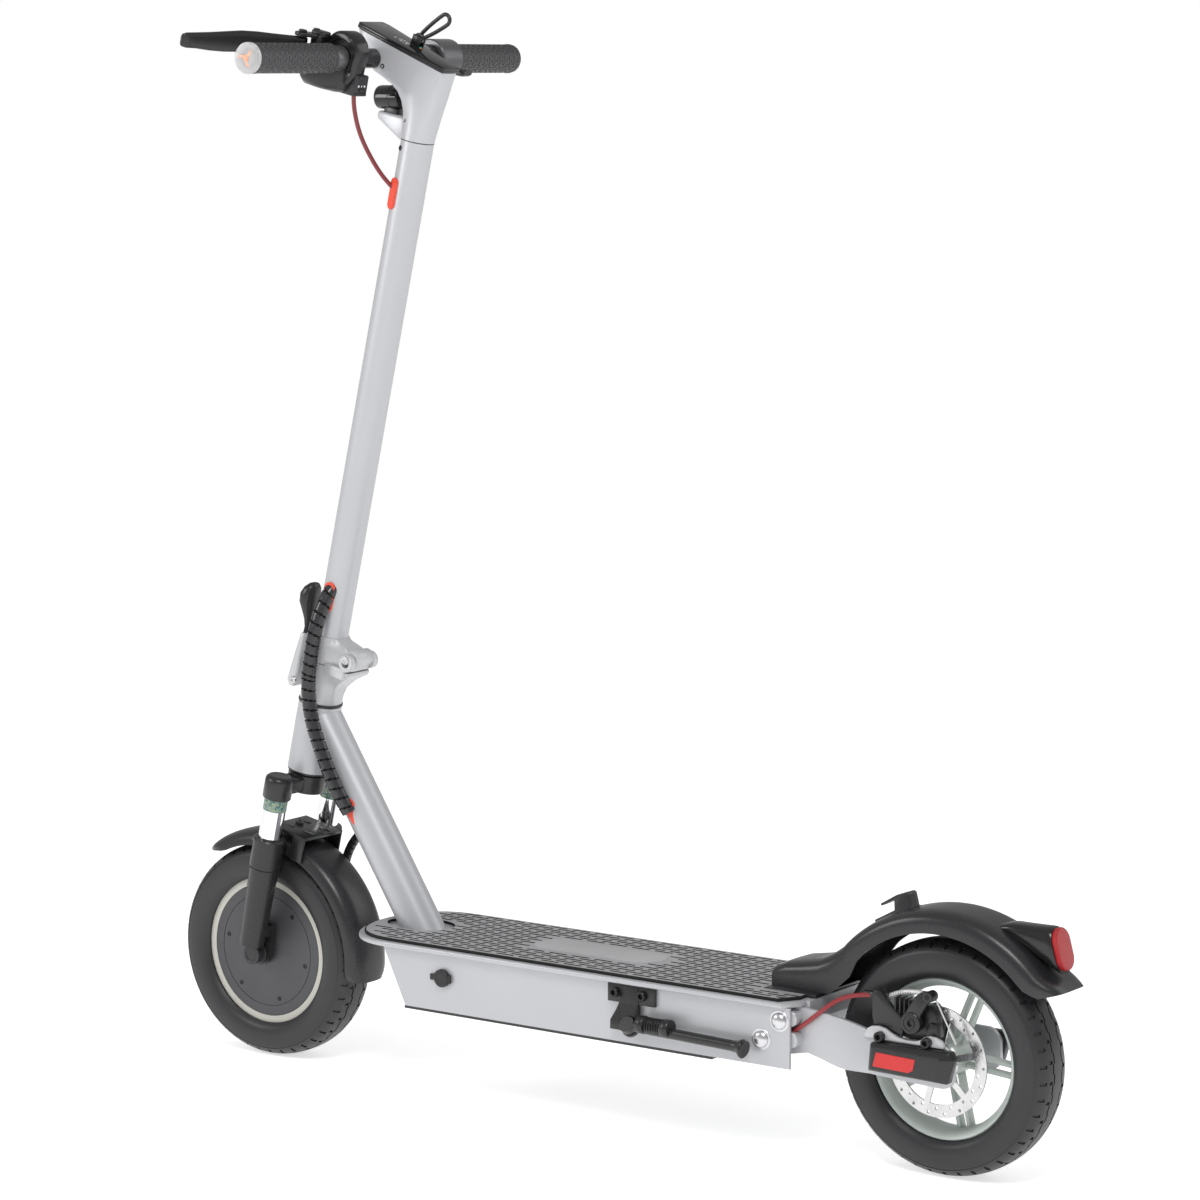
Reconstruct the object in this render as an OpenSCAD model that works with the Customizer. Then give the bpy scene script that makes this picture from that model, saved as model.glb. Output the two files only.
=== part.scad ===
// Folding electric kick scooter with a front hub motor, sprung fork and rear disc brake.
// +X is the direction of travel, +Y the rider's left, +Z up. The origin lies on the ground
// under the middle of the scooter.

/* [Wheels] */
// Distance between the two axles
wheelbase = 925; // [880:5:980]
// Outer radius of both tyres
tyre_r = 127; // [125:0.5:130]
// Half of the tyre section's width
tyre_half_w = 30; // [28:0.5:31]
// Outer radius of both rims
rim_r = 87; // [85:0.5:88]

/* [Steering and stem] */
// Lean of the steering axis from upright, in degrees
head_tilt = 13.1; // [12:0.1:14]
// Outer radius of the head tube
head_tube_r = 25.5; // [25:0.5:27]
// Outer radius of the stem tube
stem_r = 19; // [18.5:0.5:19.5]
// Height of the handlebar above the front axle, along the steering axis
bar_w = 1057.7; // [1050:0.5:1065]
// Distance of the handlebar ahead of the steering axis
bar_u = 65.3; // [62:0.5:68]
// Half of the handlebar's length over the grips
bar_half = 239; // [230:1:245]
// Radius of the handlebar tube
bar_r = 11.1; // [11:0.05:11.2]
// Radius of the rubber grips
grip_r = 17; // [16:0.5:17.5]

/* [Fork] */
// Distance of each fork leg from the middle plane
leg_y = 52; // [51:0.5:54]
// Radius of the chrome stanchions
stanchion_r = 13.5; // [13:0.5:14]
// Clear play of a part that slides or turns on another
play = 0.05; // [0.03:0.01:0.08]

/* [Deck] */
// Height of the deck plate's top face above the ground
deck_z = 178; // [176:1:180]
// Half of the deck plate's width
deck_half_w = 87; // [84:1:90]
// Height of the deck box's lower edge above the ground
box_z = 106; // [100:1:110]
// Half of the deck box's width
box_half_w = 79; // [76:1:80]

/* [Rear] */
// Radius of the brake disc
disc_r = 60; // [55:1:62]
// Distance of the brake disc from the middle plane
disc_y = 30; // [29:0.5:31]
// Distance of the tail's rear end behind the rear axle
tail = 146; // [140:1:150]

/* [Hidden] */
$fn = 64;

rear_x = (tail - wheelbase - tyre_r) / 2;
front_x = rear_x + wheelbase;

// Steering column: heights along the steering axis, measured from the front axle
crown_w0 = 198;
crown_w1 = 224;
head_w0 = 227;
head_w1 = 309;
seam_w = 979;
pivot_w = 377;
pivot_u = -44;
latch_w = 327;
latch_u = 33;
steerer_r = 15;
fold_pin_r = 5;
barrel_r = 10;
lever_pivot = [98, 112];
hook_raise = 53;
lip_w = 146;

// Front wheel
axle_r = 7;
motor_wall = 4;
rim_half_w = 20;
rim_flange = 8;

// Fenders, as radii about their own axle
front_fender_r = 146;
rear_fender_r = 161;
fender_wall = 2.5;
fender_half_w = 38;

// Deck
plate_t = 6;
mat_t = 3.5;
wall_t = 3;
nose_x = rear_x + 690;
nose_len = 80;
plate_rear_x = rear_x + 146;
box_rear_x = rear_x + 153;
tube_angle = 57.6;
down_tube_r = 24;
tube_foot_x = rear_x + 706.5;
// Bolts through the box and the rear fork's arms, behind the rear axle's line in X and Z
dome_places = [[166, 157], [189, 134.5]];

// Rear end
arm_y = 46;
arm_t = 6;
caliper_pivot = [17, 44];

// Kickstand
kick_x = rear_x + 352;
kick_y = 93;
kick_z = 129;
kick_splay = 35;
kick_len = 148;

// Route of the wrapped cable loom from the stem to the fold joint
loom_upper = [
    [824, 18, 563], [826, 25, 551], [829, 31, 537], [832, 35, 520], [836, 37, 500], [839, 38, 478],
    [841, 38, 463.5]
];
// Route of the wrapped cable loom from the fold joint to the down tube
loom_lower = [
    [841, 38, 461.5], [842, 38, 446], [840, 38, 425], [834, 38, 402], [824, 37, 377], [813, 35, 350],
    [803, 32, 327], [794, 25, 308]
];
// Route of the motor lead from the down tube to the right end of the front axle
lead_route = [
    [797, -21, 287], [810, -30, 279], [828, -38, 269], [845, -44, 255], [856, -46, 237], [862, -47, 217],
    [868, -47, 195], [877, -47, 172], [888, -47, 154], [898, -46, 144]
];
// Route of the front brake cable from the lever housing to the stem
front_cable_route = [
    [740, 68, 1131], [742, 66, 1122], [745, 60, 1110], [748, 51, 1094], [748, 42, 1078], [745, 33, 1062],
    [739, 26, 1046], [732, 20, 1034], [726, 15, 1026]
];
// Route of the rear brake cable from the deck box to the caliper
rear_cable_route = [
    [172, 67.5, 141], [163, 67.5, 142], [154, 67.5, 146], [144, 67.5, 153], [134, 67, 161], [123, 66.8, 170],
    [109, 58, 183], [95, 51, 189], [80, 45, 191], [67, 42, 191]
];

function signed_pow(v, e) = sign(v) * pow(abs(v), e);

// Points of a squared ellipse, counter-clockwise from angle a0 to angle a1
function squared_ellipse(cx, cy, a, b, e, a0 = 0, a1 = 360, steps = 36) = [
    for (i = [0:steps - (a1 - a0 == 360 ? 1 : 0)])
        let (t = a0 + (a1 - a0) * i / steps)
        [cx + a * signed_pow(cos(t), e), cy + b * signed_pow(sin(t), e)]
];

function unit(v) = v / norm(v);

// Direction of the route at point i
function heading(p, i) = unit(p[min(i + 1, len(p) - 1)] - p[max(i - 1, 0)]);

// Route with its points moved from the rear axle's foot to the origin
function placed(p) = [for (q = p) q + [rear_x, 0, 0]];

// One ring of a swept tube
function ring(p, i, r, n) =
    let (h = heading(p, i), a = unit(cross(h, [1, 0.3, 0.1])), b = cross(h, a))
    [for (k = [0:n - 1]) p[i] + r * cos(360 * k / n) * a + r * sin(360 * k / n) * b];

// Smooth route through the given points
function spline(p, q) = [
    for (i = [0:len(p) - 2], k = [0:q - 1])
        let (
            t = k / q,
            p0 = p[max(i - 1, 0)],
            p3 = p[min(i + 2, len(p) - 1)]
        )
        0.5 * (2 * p[i] + (p[i + 1] - p0) * t + (2 * p0 - 5 * p[i] + 4 * p[i + 1] - p3) * t * t
            + (3 * p[i] - p0 - 3 * p[i + 1] + p3) * t * t * t),
    p[len(p) - 1]
];

// Round tube swept along a route
module swept_tube(route, r, n = 10) {
    last = len(route) - 1;
    points = [for (i = [0:last]) each ring(route, i, r, n)];
    sides = [
        for (i = [0:last - 1], k = [0:n - 1])
            [i * n + k, (i + 1) * n + k, (i + 1) * n + (k + 1) % n, i * n + (k + 1) % n]
    ];
    near_end = [for (k = [0:n - 1]) k];
    far_end = [for (k = [n - 1:-1:0]) last * n + k];
    polyhedron(points, concat(sides, [near_end, far_end]));
}

module at_rear() translate([rear_x, 0, tyre_r]) children();
module at_front() translate([front_x, 0, tyre_r]) children();
module on_steer() at_front() rotate([0, -head_tilt, 0]) children();

// Cylinder along Y from y0 to y1
module rod_y(r, y0, y1) translate([0, y1, 0]) rotate([90, 0, 0]) cylinder(r = r, h = y1 - y0);

// Outline in the X-Z plane, thickened along Y from y0 to y1
module plate_y(y0, y1) translate([0, y1, 0]) rotate([90, 0, 0]) linear_extrude(y1 - y0) children();

// Solid of revolution about Y, from an outline in radius and Y
module turned_y() rotate([-90, 0, 0]) rotate_extrude($fn = 96) children();

module both_sides() {
    children();
    mirror([0, 1, 0]) children();
}

// ---- Wheels ----

module tyre() {
    color([0.13, 0.13, 0.14]) turned_y() difference() {
        polygon(squared_ellipse(104, 0, tyre_r - 104, tyre_half_w, 0.75));
        polygon(squared_ellipse(102, 0, tyre_r - 111, tyre_half_w - 6, 0.8));
        translate([0, -50]) square([rim_r + play, 100]);
    }
}

module rear_tyre() at_rear() tyre();
module front_tyre() at_front() tyre();

module front_rim() {
    cavity_r = rim_r - rim_flange;
    color([0.74, 0.73, 0.69]) at_front() turned_y() polygon([
        [axle_r + play, -rim_half_w], [axle_r + play, motor_wall + 8 - rim_half_w],
        [18, motor_wall + 8 - rim_half_w], [18, motor_wall - rim_half_w],
        [cavity_r, motor_wall - rim_half_w], [cavity_r, rim_half_w],
        [rim_r, rim_half_w], [rim_r, -rim_half_w]
    ]);
}

module motor_cover() {
    cover_r = rim_r - rim_flange - 0.1;
    color([0.3, 0.3, 0.31]) at_front() turned_y() polygon([
        [axle_r + play, rim_half_w + 1], [axle_r + play, rim_half_w - motor_wall - 8],
        [18, rim_half_w - motor_wall - 8], [18, rim_half_w - motor_wall],
        [cover_r, rim_half_w - motor_wall], [cover_r, rim_half_w],
        [60, rim_half_w], [60, rim_half_w + 1]
    ]);
}

module motor_stator() {
    color([0.7, 0.42, 0.2]) at_front() difference() {
        turned_y() polygon([[axle_r, -7], [70, -7], [70, 7], [axle_r, 7]]);
        for (k = [0:17]) rotate([0, 20 * k, 0]) translate([58, 0, 0]) cube([26, 20, 3.5], center = true);
    }
}

module rear_rim() {
    color([0.62, 0.66, 0.63]) at_rear() difference() {
        union() {
            turned_y() polygon([
                [80, -rim_half_w], [rim_r, -rim_half_w], [rim_r, rim_half_w], [80, rim_half_w],
                [75, rim_half_w - 8], [75, 8 - rim_half_w]
            ]);
            rod_y(20, -24, 27);
            for (k = [0:4], s = [-1, 1]) rotate([0, 72 * k + 20, 0]) translate([46, -2, s * 6])
                cube([62, 12, 5], center = true);
        }
        rod_y(6 + play, -30, 30);
    }
}

module brake_disc() {
    color([0.8, 0.8, 0.8]) at_rear() difference() {
        union() {
            difference() {
                rod_y(disc_r, disc_y, disc_y + 2);
                rod_y(disc_r - 14, disc_y - 1, disc_y + 3);
            }
            rod_y(23, disc_y - 3, disc_y + 2);
            for (k = [0:5]) rotate([0, 60 * k + 15, 0]) translate([34, disc_y + 1, 0]) cube([28, 2, 7], center = true);
        }
        rod_y(8, disc_y - 5, disc_y + 3);
        for (k = [0:17], j = [0:1]) rotate([0, 20 * k + 10 * j, 0]) translate([disc_r - 4 - 6 * j, 0, 0])
            rod_y(1.8, disc_y - 1, disc_y + 3);
    }
}

// ---- Steering column and fork ----

module head_tube() {
    color([0.76, 0.77, 0.79]) on_steer() difference() {
        translate([0, 0, head_w0]) cylinder(r = head_tube_r, h = head_w1 - head_w0);
        translate([0, 0, head_w0 - 1]) cylinder(r = steerer_r + play, h = 6);
        translate([0, 0, head_w1 - 5]) cylinder(r = steerer_r + play, h = 6);
        translate([0, 0, head_w0 + 5]) cylinder(r = head_tube_r - 5, h = head_w1 - head_w0 - 10);
    }
}

module fork_crown() {
    color([0.15, 0.15, 0.16]) on_steer() difference() {
        union() {
            both_sides() translate([0, leg_y, crown_w0]) cylinder(r = 17, h = crown_w1 - crown_w0);
            translate([-14, -leg_y, crown_w0 + 2]) cube([28, 2 * leg_y, crown_w1 - crown_w0 - 2]);
            translate([0, 0, crown_w0 + 2]) cylinder(r = 22, h = crown_w1 - crown_w0 - 2);
            translate([0, 0, crown_w1 - 1]) cylinder(r = steerer_r, h = head_w1 + 13 - crown_w1);
        }
        both_sides() translate([0, leg_y, crown_w0 - 1]) cylinder(r = stanchion_r, h = crown_w1 - crown_w0 - 3);
        translate([0, 0, crown_w0]) cylinder(r = steerer_r - 4, h = head_w1);
    }
}

module stanchions() {
    color([0.85, 0.85, 0.86]) on_steer() both_sides() translate([0, leg_y, 60]) difference() {
        cylinder(r = stanchion_r, h = crown_w1 - 64);
        translate([0, 0, -1]) cylinder(r = stanchion_r - 2.5, h = crown_w1 - 70);
    }
}

module fork_leg() {
    color([0.17, 0.17, 0.18]) on_steer() difference() {
        union() {
            translate([0, leg_y, lip_w - 3]) cylinder(r = 19.5, h = 3);
            translate([0, leg_y, lip_w - 34]) cylinder(r = 18.5, h = 33);
            translate([0, leg_y, 14]) cylinder(r1 = 14.5, r2 = 17.5, h = lip_w - 47, $fn = 64);
            hull() {
                rod_y(15, 28, 34, $fn = 32);
                translate([-13, 28, 26]) cube([26, 6, 14]);
            }
            translate([-12, 28, 24]) cube([24, leg_y - 28, 14]);
        }
        rod_y(axle_r, 20, 40);
        translate([0, leg_y, 30]) cylinder(r = stanchion_r + play, h = lip_w);
    }
}

module fork_leg_left() fork_leg();
module fork_leg_right() mirror([0, 1, 0]) fork_leg();

module front_axle() {
    color([0.12, 0.12, 0.12]) at_front() union() {
        rod_y(axle_r, -40, 40);
        both_sides() rod_y(12, 34, 49);
    }
}

// Channel round a tyre, swept about the axle from angle a0 to angle a1
module fender_shell(r_out, r_skirt, half_w, a0, a1) {
    crown = r_out - r_skirt;
    rotate([0, -a1, 0]) rotate([-90, 0, 0]) rotate_extrude(angle = a1 - a0, $fn = 96)
        difference() {
            intersection() {
                polygon(squared_ellipse(r_skirt, 0, crown, half_w, 0.7));
                translate([r_skirt, -60]) square([60, 120]);
            }
            intersection() {
                polygon(squared_ellipse(r_skirt, 0, crown - fender_wall, half_w - fender_wall, 0.7));
                translate([r_skirt - 1, -60]) square([60, 120]);
            }
        }
}

module front_fender() {
    color([0.2, 0.2, 0.21]) at_front() fender_shell(front_fender_r, 128, 32.2, 52, 188);
}

module fender_bridge() {
    color([0.18, 0.18, 0.19]) on_steer() difference() {
        union() {
            translate([-38, -31, 152]) cube([55, 62, 5]);
            both_sides() translate([-38, 32.6, 125]) cube([18, 3, 32]);
            translate([-38, -34, 152]) cube([18, 68, 5]);
            translate([-14, -8, 146.4]) cube([16, 16, 6]);
        }
        for (s = [-1, 1]) translate([-14, 14 * s, 150]) cube([16, 4, 9], center = true);
    }
}

module stem_base() {
    color([0.78, 0.79, 0.81]) on_steer() difference() {
        union() {
            translate([0, 0, head_w1 + 3]) cylinder(r = head_tube_r - 0.5, h = 30);
            hull() {
                translate([0, 0, 335]) cylinder(r = 24, h = 25, $fn = 32);
                translate([pivot_u, 0, pivot_w]) rod_y(barrel_r - 1, -25, 25, $fn = 32);
            }
            hull() {
                translate([18, -12, 315]) cube([6, 24, 24]);
                translate([latch_u, 0, latch_w]) rod_y(5, -12, 12, $fn = 32);
            }
            translate([latch_u, 0, latch_w]) rod_y(4, -17, 17);
        }
        translate([pivot_u, 0, pivot_w]) rod_y(barrel_r + 1, -16, 16);
        translate([-60, -16, 361]) cube([110, 32, 60]);
        translate([-18, -30, 361]) cube([80, 60, 60]);
        translate([0, 0, 361]) cylinder(r = 25.6, h = 60);
        translate([pivot_u, 0, pivot_w]) rod_y(fold_pin_r, -30, 30);
        translate([0, 0, head_w1]) cylinder(r = steerer_r, h = 14);
    }
}

module fold_pin() {
    color([0.5, 0.5, 0.52]) on_steer() translate([pivot_u, 0, pivot_w]) rod_y(fold_pin_r, -25.5, 25.5);
}

module stem_sleeve() {
    color([0.8, 0.81, 0.83]) on_steer() difference() {
        union() {
            translate([0, 0, 361.5]) cylinder(r = 25, h = 29);
            hull() {
                translate([0, 0, 364]) cylinder(r = 14, h = 22, $fn = 32);
                translate([pivot_u, 0, pivot_w]) rod_y(barrel_r, -15.7, 15.7, $fn = 32);
            }
        }
        translate([0, 0, 370]) cylinder(r = stem_r, h = 30);
        translate([pivot_u, 0, pivot_w]) rod_y(fold_pin_r + play, -30, 30);
    }
}

module fold_latch() {
    color([0.25, 0.25, 0.26]) on_steer() difference() {
        union() {
            hull() {
                translate([latch_u + 5, 0, latch_w]) rod_y(9, -16, 16, $fn = 32);
                translate([latch_u - 3, -16, 384]) cube([10, 32, 6]);
            }
            hull() {
                translate([latch_u - 5, -11, 384]) cube([11, 22, 6]);
                translate([latch_u + 2, 0, 420]) rod_y(9, -14, 14, $fn = 32);
                translate([latch_u - 2, 0, 437]) rod_y(7, -9, 9, $fn = 32);
            }
        }
        translate([0, -12.5, 300]) cube([latch_u + 5.5, 25, 58]);
        translate([0, -12.5, 357]) cube([latch_u - 2.5, 25, 30]);
        translate([0, 0, 355]) cylinder(r = 25.4, h = 40);
        translate([0, 0, 300]) cylinder(r = head_tube_r + 0.4, h = 60);
        translate([latch_u, 0, latch_w]) rod_y(4 + play, -20, 20);
    }
}

module stem_tube() {
    color([0.77, 0.78, 0.8]) on_steer() difference() {
        translate([0, 0, 370.1]) cylinder(r = stem_r - play, h = seam_w - 370.1);
        translate([0, 0, 369]) cylinder(r = stem_r - 3, h = seam_w);
    }
}

// Stadium-shaped grommet, standing along Z, proud of a tube's wall
module grommet(len, wide, deep) hull() both_sides_z(len / 2 - wide / 2) rod_y(wide / 2, 0, deep, $fn = 32);

module both_sides_z(d) {
    translate([0, 0, d]) children();
    translate([0, 0, -d]) children();
}

module stem_grommets() {
    color([0.95, 0.24, 0.13]) on_steer() difference() {
        union() {
            translate([0, 12, 440]) grommet(36, 14, 9);
            translate([6, 12, 916]) rotate([0, 0, -25]) grommet(36, 12, 8);
        }
        translate([0, 0, 300]) cylinder(r = stem_r, h = seam_w);
    }
}

// ---- Head, display and handlebar ----

module on_display() on_steer() translate([-29, 0, 1062]) rotate([0, -11.6, 0]) children();

module head_plan(extra = 0) polygon([
    [0, -15 - extra], [0, 15 + extra], [60, 20 + extra], [118, 24 + extra], [127, 21 + extra],
    [127, -21 - extra], [118, -24 - extra], [60, -20 - extra]
]);

module head_casting() {
    color([0.77, 0.78, 0.8]) difference() {
        union() {
            intersection() {
                on_steer() plate_y(-30, 30) polygon([
                    [-29, 1062], [96, 1087], [73, 1043], [50, 1039], [36, 1034], [26, 1026], [20, 1014],
                    [18, 995], [-18, 995]
                ]);
                on_display() translate([0, 0, -120]) linear_extrude(200) offset(delta = -0.6) head_plan();
            }
            hull() {
                on_steer() translate([0, 0, seam_w]) cylinder(r = stem_r, h = 4);
                on_steer() translate([-24, -15, 1030]) cube([42, 30, 4]);
            }
        }
        on_steer() translate([bar_u, 0, bar_w]) rod_y(bar_r, -40, 40);
        lamp_barrel(14);
    }
}

module display_panel() {
    color([0.1, 0.1, 0.11]) {
        difference() {
            on_display() linear_extrude(6) head_plan();
            on_steer() translate([bar_u, 0, bar_w]) rod_y(bar_r, -40, 40);
        }
        for (y = [-19.8, -10.8]) on_display() translate([61, y, 5.9]) cube([10, 2.6, 11]);
        at_hook() rod_y(2, -5.5, 5.5);
    }
}

// Centre of the hook's hinge, with +Z along the raised loop
module at_hook() on_display() translate([66, -14, 13]) rotate([0, hook_raise - 90, 0]) children();

module loop_hook() {
    color([0.12, 0.12, 0.12]) at_hook() difference() {
        hull() {
            rod_y(6.5, -2.5, 2.5, $fn = 32);
            translate([0, 0, 44]) rod_y(7.5, -2.5, 2.5, $fn = 32);
        }
        hull() {
            translate([0, 0, 15]) rod_y(3.6, -4, 4, $fn = 32);
            translate([0, 0, 43.5]) rod_y(3.6, -4, 4, $fn = 32);
        }
        rod_y(2 + play, -4, 4);
    }
}

module handlebar() {
    color([0.16, 0.16, 0.17]) on_steer() translate([bar_u, 0, bar_w]) difference() {
        rod_y(bar_r, 3 - bar_half, bar_half - 3);
        rod_y(bar_r - 2.2, -bar_half, bar_half);
    }
}

module grips() {
    color([0.2, 0.2, 0.21]) on_steer() translate([bar_u, 0, bar_w]) {
        difference() {
            rod_y(grip_r, 101, bar_half);
            rod_y(bar_r, 90, bar_half - 3);
        }
        difference() {
            rod_y(grip_r, -bar_half, -118);
            rod_y(bar_r, 3 - bar_half, -110);
        }
    }
}

module left_housing() {
    color([0.14, 0.14, 0.15]) on_steer() translate([bar_u, 0, bar_w]) difference() {
        union() {
            rod_y(23, 58, 82);
            rod_y(14.5, 82, 100.5);
            hull() {
                translate([-6, 0, -16]) rod_y(9, 60, 82, $fn = 32);
                translate([6, 0, -28]) rod_y(9, 62, 112, $fn = 32);
                translate([22, 0, -10]) rod_y(9, 62, 112, $fn = 32);
            }
            translate([-21, 50, -38]) cube([17, 24, 23]);
        }
        rod_y(bar_r, 50, 110);
        translate([0, 100.7, 0]) rod_y(grip_r + 0.3, 0, 30);
        translate([-22, 54, -30]) cube([5, 16, 6]);
    }
}

module signal_slider() {
    color([0.3, 0.3, 0.3]) on_steer() translate([bar_u - 23, 58, bar_w - 29.5]) cube([5.6, 8, 5]);
}

module lever_perch() {
    color([0.15, 0.15, 0.16]) on_steer() {
        difference() {
            hull() {
                translate([bar_u + 20, 76, bar_w + 2]) cube([12, 26, 20]);
                translate([lever_pivot[0], lever_pivot[1], bar_w + 2]) cylinder(r = 9, h = 20, $fn = 32);
            }
            translate([lever_pivot[0] - 9, lever_pivot[1] - 10, bar_w + 6.2]) cube([40, 60, 11.2]);
            translate([bar_u, 0, bar_w]) rod_y(23.4, 50, 82.4);
            translate([bar_u, 0, bar_w]) rod_y(grip_r + 0.6, 80, 150);
            translate([bar_u + 22, 0, bar_w - 10]) rod_y(12, 60, 140);
        }
        translate([lever_pivot[0], lever_pivot[1], bar_w + 3]) cylinder(r = 2.45, h = 18);
    }
}

module brake_lever() {
    color([0.13, 0.13, 0.14]) on_steer() {
        difference() {
            translate([lever_pivot[0], lever_pivot[1], bar_w + 8]) cylinder(r = 7, h = 9);
            translate([lever_pivot[0], lever_pivot[1], bar_w]) cylinder(r = 2.5, h = 30);
        }
        hull() {
            translate([lever_pivot[0] + 8, lever_pivot[1] + 4, bar_w + 8]) cylinder(r = 4, h = 9, $fn = 32);
            translate([132, 170, bar_w - 2]) cylinder(r = 4, h = 18, $fn = 32);
        }
        hull() {
            translate([132, 170, bar_w - 2]) cylinder(r = 4, h = 18, $fn = 32);
            translate([155, 241, bar_w - 7]) cylinder(r = 4, h = 18, $fn = 32);
        }
    }
}

module throttle_housing() {
    color([0.3, 0.3, 0.31]) on_steer() translate([bar_u, 0, bar_w]) difference() {
        rod_y(22.5, -117.5, -80);
        rod_y(bar_r, -120, -70);
        difference() {
            rod_y(24, -110, -96);
            rod_y(17, -110, -96);
            translate([14, -120, -30]) cube([40, 60, 70]);
            translate([-40, -120, 6]) cube([60, 60, 30]);
        }
    }
}

module throttle_paddle() {
    color([0.12, 0.12, 0.12]) on_steer() translate([bar_u, 0, bar_w]) difference() {
        union() {
            difference() {
                rod_y(21.5, -109.7, -96.3);
                translate([-7, -120, -30]) cube([40, 40, 70]);
                translate([-40, -120, -4]) cube([60, 40, 40]);
            }
            translate([-34, -109.7, -13]) cube([18, 13.4, 8]);
        }
        rod_y(17.1, -120, -90);
    }
}

module lamp_bracket() {
    color([0.77, 0.78, 0.8]) on_steer() difference() {
        plate_y(-11, 11) polygon([[0, 958], [38, 980], [57, 992], [57, 997], [10, 1003], [0, 1003]]);
        translate([0, 0, 940]) cylinder(r = stem_r + 0.1, h = 80);
        hull() {
            translate([0, 0, seam_w - 1]) cylinder(r = stem_r + 0.1, h = 5);
            translate([-24, -15, 1030]) cube([42.5, 30, 4]);
        }
        translate([-30, -20, 994.5]) cube([50.3, 40, 40]);
    }
}

// Horizontal barrel of the headlight
module lamp_barrel(r) on_steer() translate([45, 0, 1018]) rotate([0, head_tilt, 0])
    rotate([0, 90, 0]) translate([0, 0, -15]) cylinder(r = r, h = 34);

module headlight() {
    color([0.1, 0.1, 0.1]) {
        lamp_barrel(13.6);
        on_steer() translate([33, -6, 1000.3]) cube([16, 12, 6]);
    }
}

// ---- Frame ----

// Down tube's place: origin at its foot, +Z up along the tube
module along_down_tube() translate([tube_foot_x, 0, deck_z]) rotate([0, 90 - tube_angle, 0]) children();

module down_tube() {
    color([0.78, 0.79, 0.81]) difference() {
        along_down_tube() translate([0, 0, -20]) cylinder(r = down_tube_r, h = 300);
        along_down_tube() translate([0, 0, -21]) cylinder(r = down_tube_r - 3, h = 270);
        on_steer() translate([0, 0, head_w0 - 60]) cylinder(r = head_tube_r, h = head_w1 - head_w0 + 120);
        on_steer() translate([0, -50, head_w0]) cube([200, 100, 200]);
        on_steer() translate([-60, -50, head_w1 - 3]) cube([200, 100, 100]);
        translate([tube_foot_x - 60, -50, deck_z - 100]) cube([120, 100, 100]);
    }
}

module down_tube_grommet() {
    color([0.95, 0.24, 0.13]) difference() {
        translate([rear_x + 793, 15, 308]) rotate([0, 33, 22]) grommet(34, 15, 10);
        along_down_tube() translate([0, 0, -20]) cylinder(r = down_tube_r, h = 300);
    }
}

// Plan of the deck plate: square rear end, rounded nose
module deck_plan(inset = 0) polygon(concat(
    [[plate_rear_x + inset + 14, deck_half_w - inset], [plate_rear_x + inset, deck_half_w - inset - 22]],
    [[plate_rear_x + inset, inset + 22 - deck_half_w], [plate_rear_x + inset + 14, inset - deck_half_w]],
    squared_ellipse(nose_x, 0, nose_len - inset, deck_half_w - inset, 0.87, -90, 90, 24)
));

module deck_plate() {
    color([0.8, 0.81, 0.83]) translate([0, 0, deck_z - plate_t]) linear_extrude(plate_t) deck_plan();
}

module deck_mat() {
    color([0.16, 0.16, 0.17]) difference() {
        translate([0, 0, deck_z]) linear_extrude(mat_t) deck_plan(8);
        along_down_tube() translate([0, 0, -60]) cylinder(r = down_tube_r + 1.5, h = 120);
        translate([plate_rear_x - 10, -48, deck_z - 1]) cube([72, 96, 10]);
    }
}

// Side outline of the deck box, in X and Z
module box_outline(inset) polygon([
    [box_rear_x + 2 * inset, box_z], [rear_x + 671 - inset, box_z],
    [rear_x + 702 - inset, deck_z - plate_t], [box_rear_x + 2 * inset, deck_z - plate_t]
]);

module deck_box() {
    color([0.79, 0.8, 0.82]) difference() {
        plate_y(-box_half_w, box_half_w) box_outline(0);
        difference() {
            plate_y(wall_t - box_half_w, box_half_w - wall_t) polygon([
                [box_rear_x - 5, box_z - 5], [rear_x + 665, box_z - 5], [rear_x + 668, box_z],
                [rear_x + 698, deck_z - plate_t], [rear_x + 698, deck_z], [box_rear_x - 5, deck_z]
            ]);
            translate([rear_x + 212, -box_half_w, box_z]) cube([wall_t, 2 * box_half_w, deck_z - plate_t - box_z]);
        }
        both_sides() for (p = dome_places) translate([rear_x + p[0], 0, p[1]]) rod_y(5, box_half_w - 8, box_half_w + 1);
    }
}

module bottom_cover() {
    color([0.12, 0.12, 0.12]) translate([rear_x + 252, -box_half_w, box_z - 3]) cube([420, 2 * box_half_w, 3]);
}

module battery_pack() {
    color([0.1, 0.3, 0.6]) translate([rear_x + 232, -60, box_z + 0.5]) cube([400, 120, 56]);
}

// ---- Rear end ----

module rear_fork() {
    color([0.76, 0.77, 0.79]) {
        difference() {
            at_rear() both_sides() {
                plate_y(arm_y, arm_y + arm_t) polygon([
                    [98, 37], [71, 24], [-20, 24], [-31, 14], [-31, -15], [-23, -22], [74, -18], [98, -14]
                ]);
                translate([92, arm_y, -15]) cube([6, 18, 54]);
                plate_y(arm_y + 12, arm_y + 18) polygon([
                    [92, 39], [103, 41], [150, 45], [205, 44.5], [205, -14], [140, -4], [110, -12], [92, -15]
                ]);
            }
            at_rear() rod_y(6, -70, 70);
        }
        translate([rear_x + 141, -arm_y - 12, 155]) cube([5, 2 * arm_y + 24, 23]);
        translate([rear_x + 141, -46, deck_z]) cube([64, 92, 4]);
    }
}

module dome_bolts() {
    color([0.85, 0.85, 0.86]) both_sides() for (p = dome_places) {
        translate([rear_x + p[0], 0, p[1]]) rod_y(5, arm_y + 18, box_half_w);
        translate([rear_x + p[0], box_half_w, p[1]]) rotate([-90, 0, 0]) intersection() {
            cylinder(r = 9.5, h = 6);
            translate([0, 0, -7]) sphere(r = 12.5);
        }
    }
}

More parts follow.
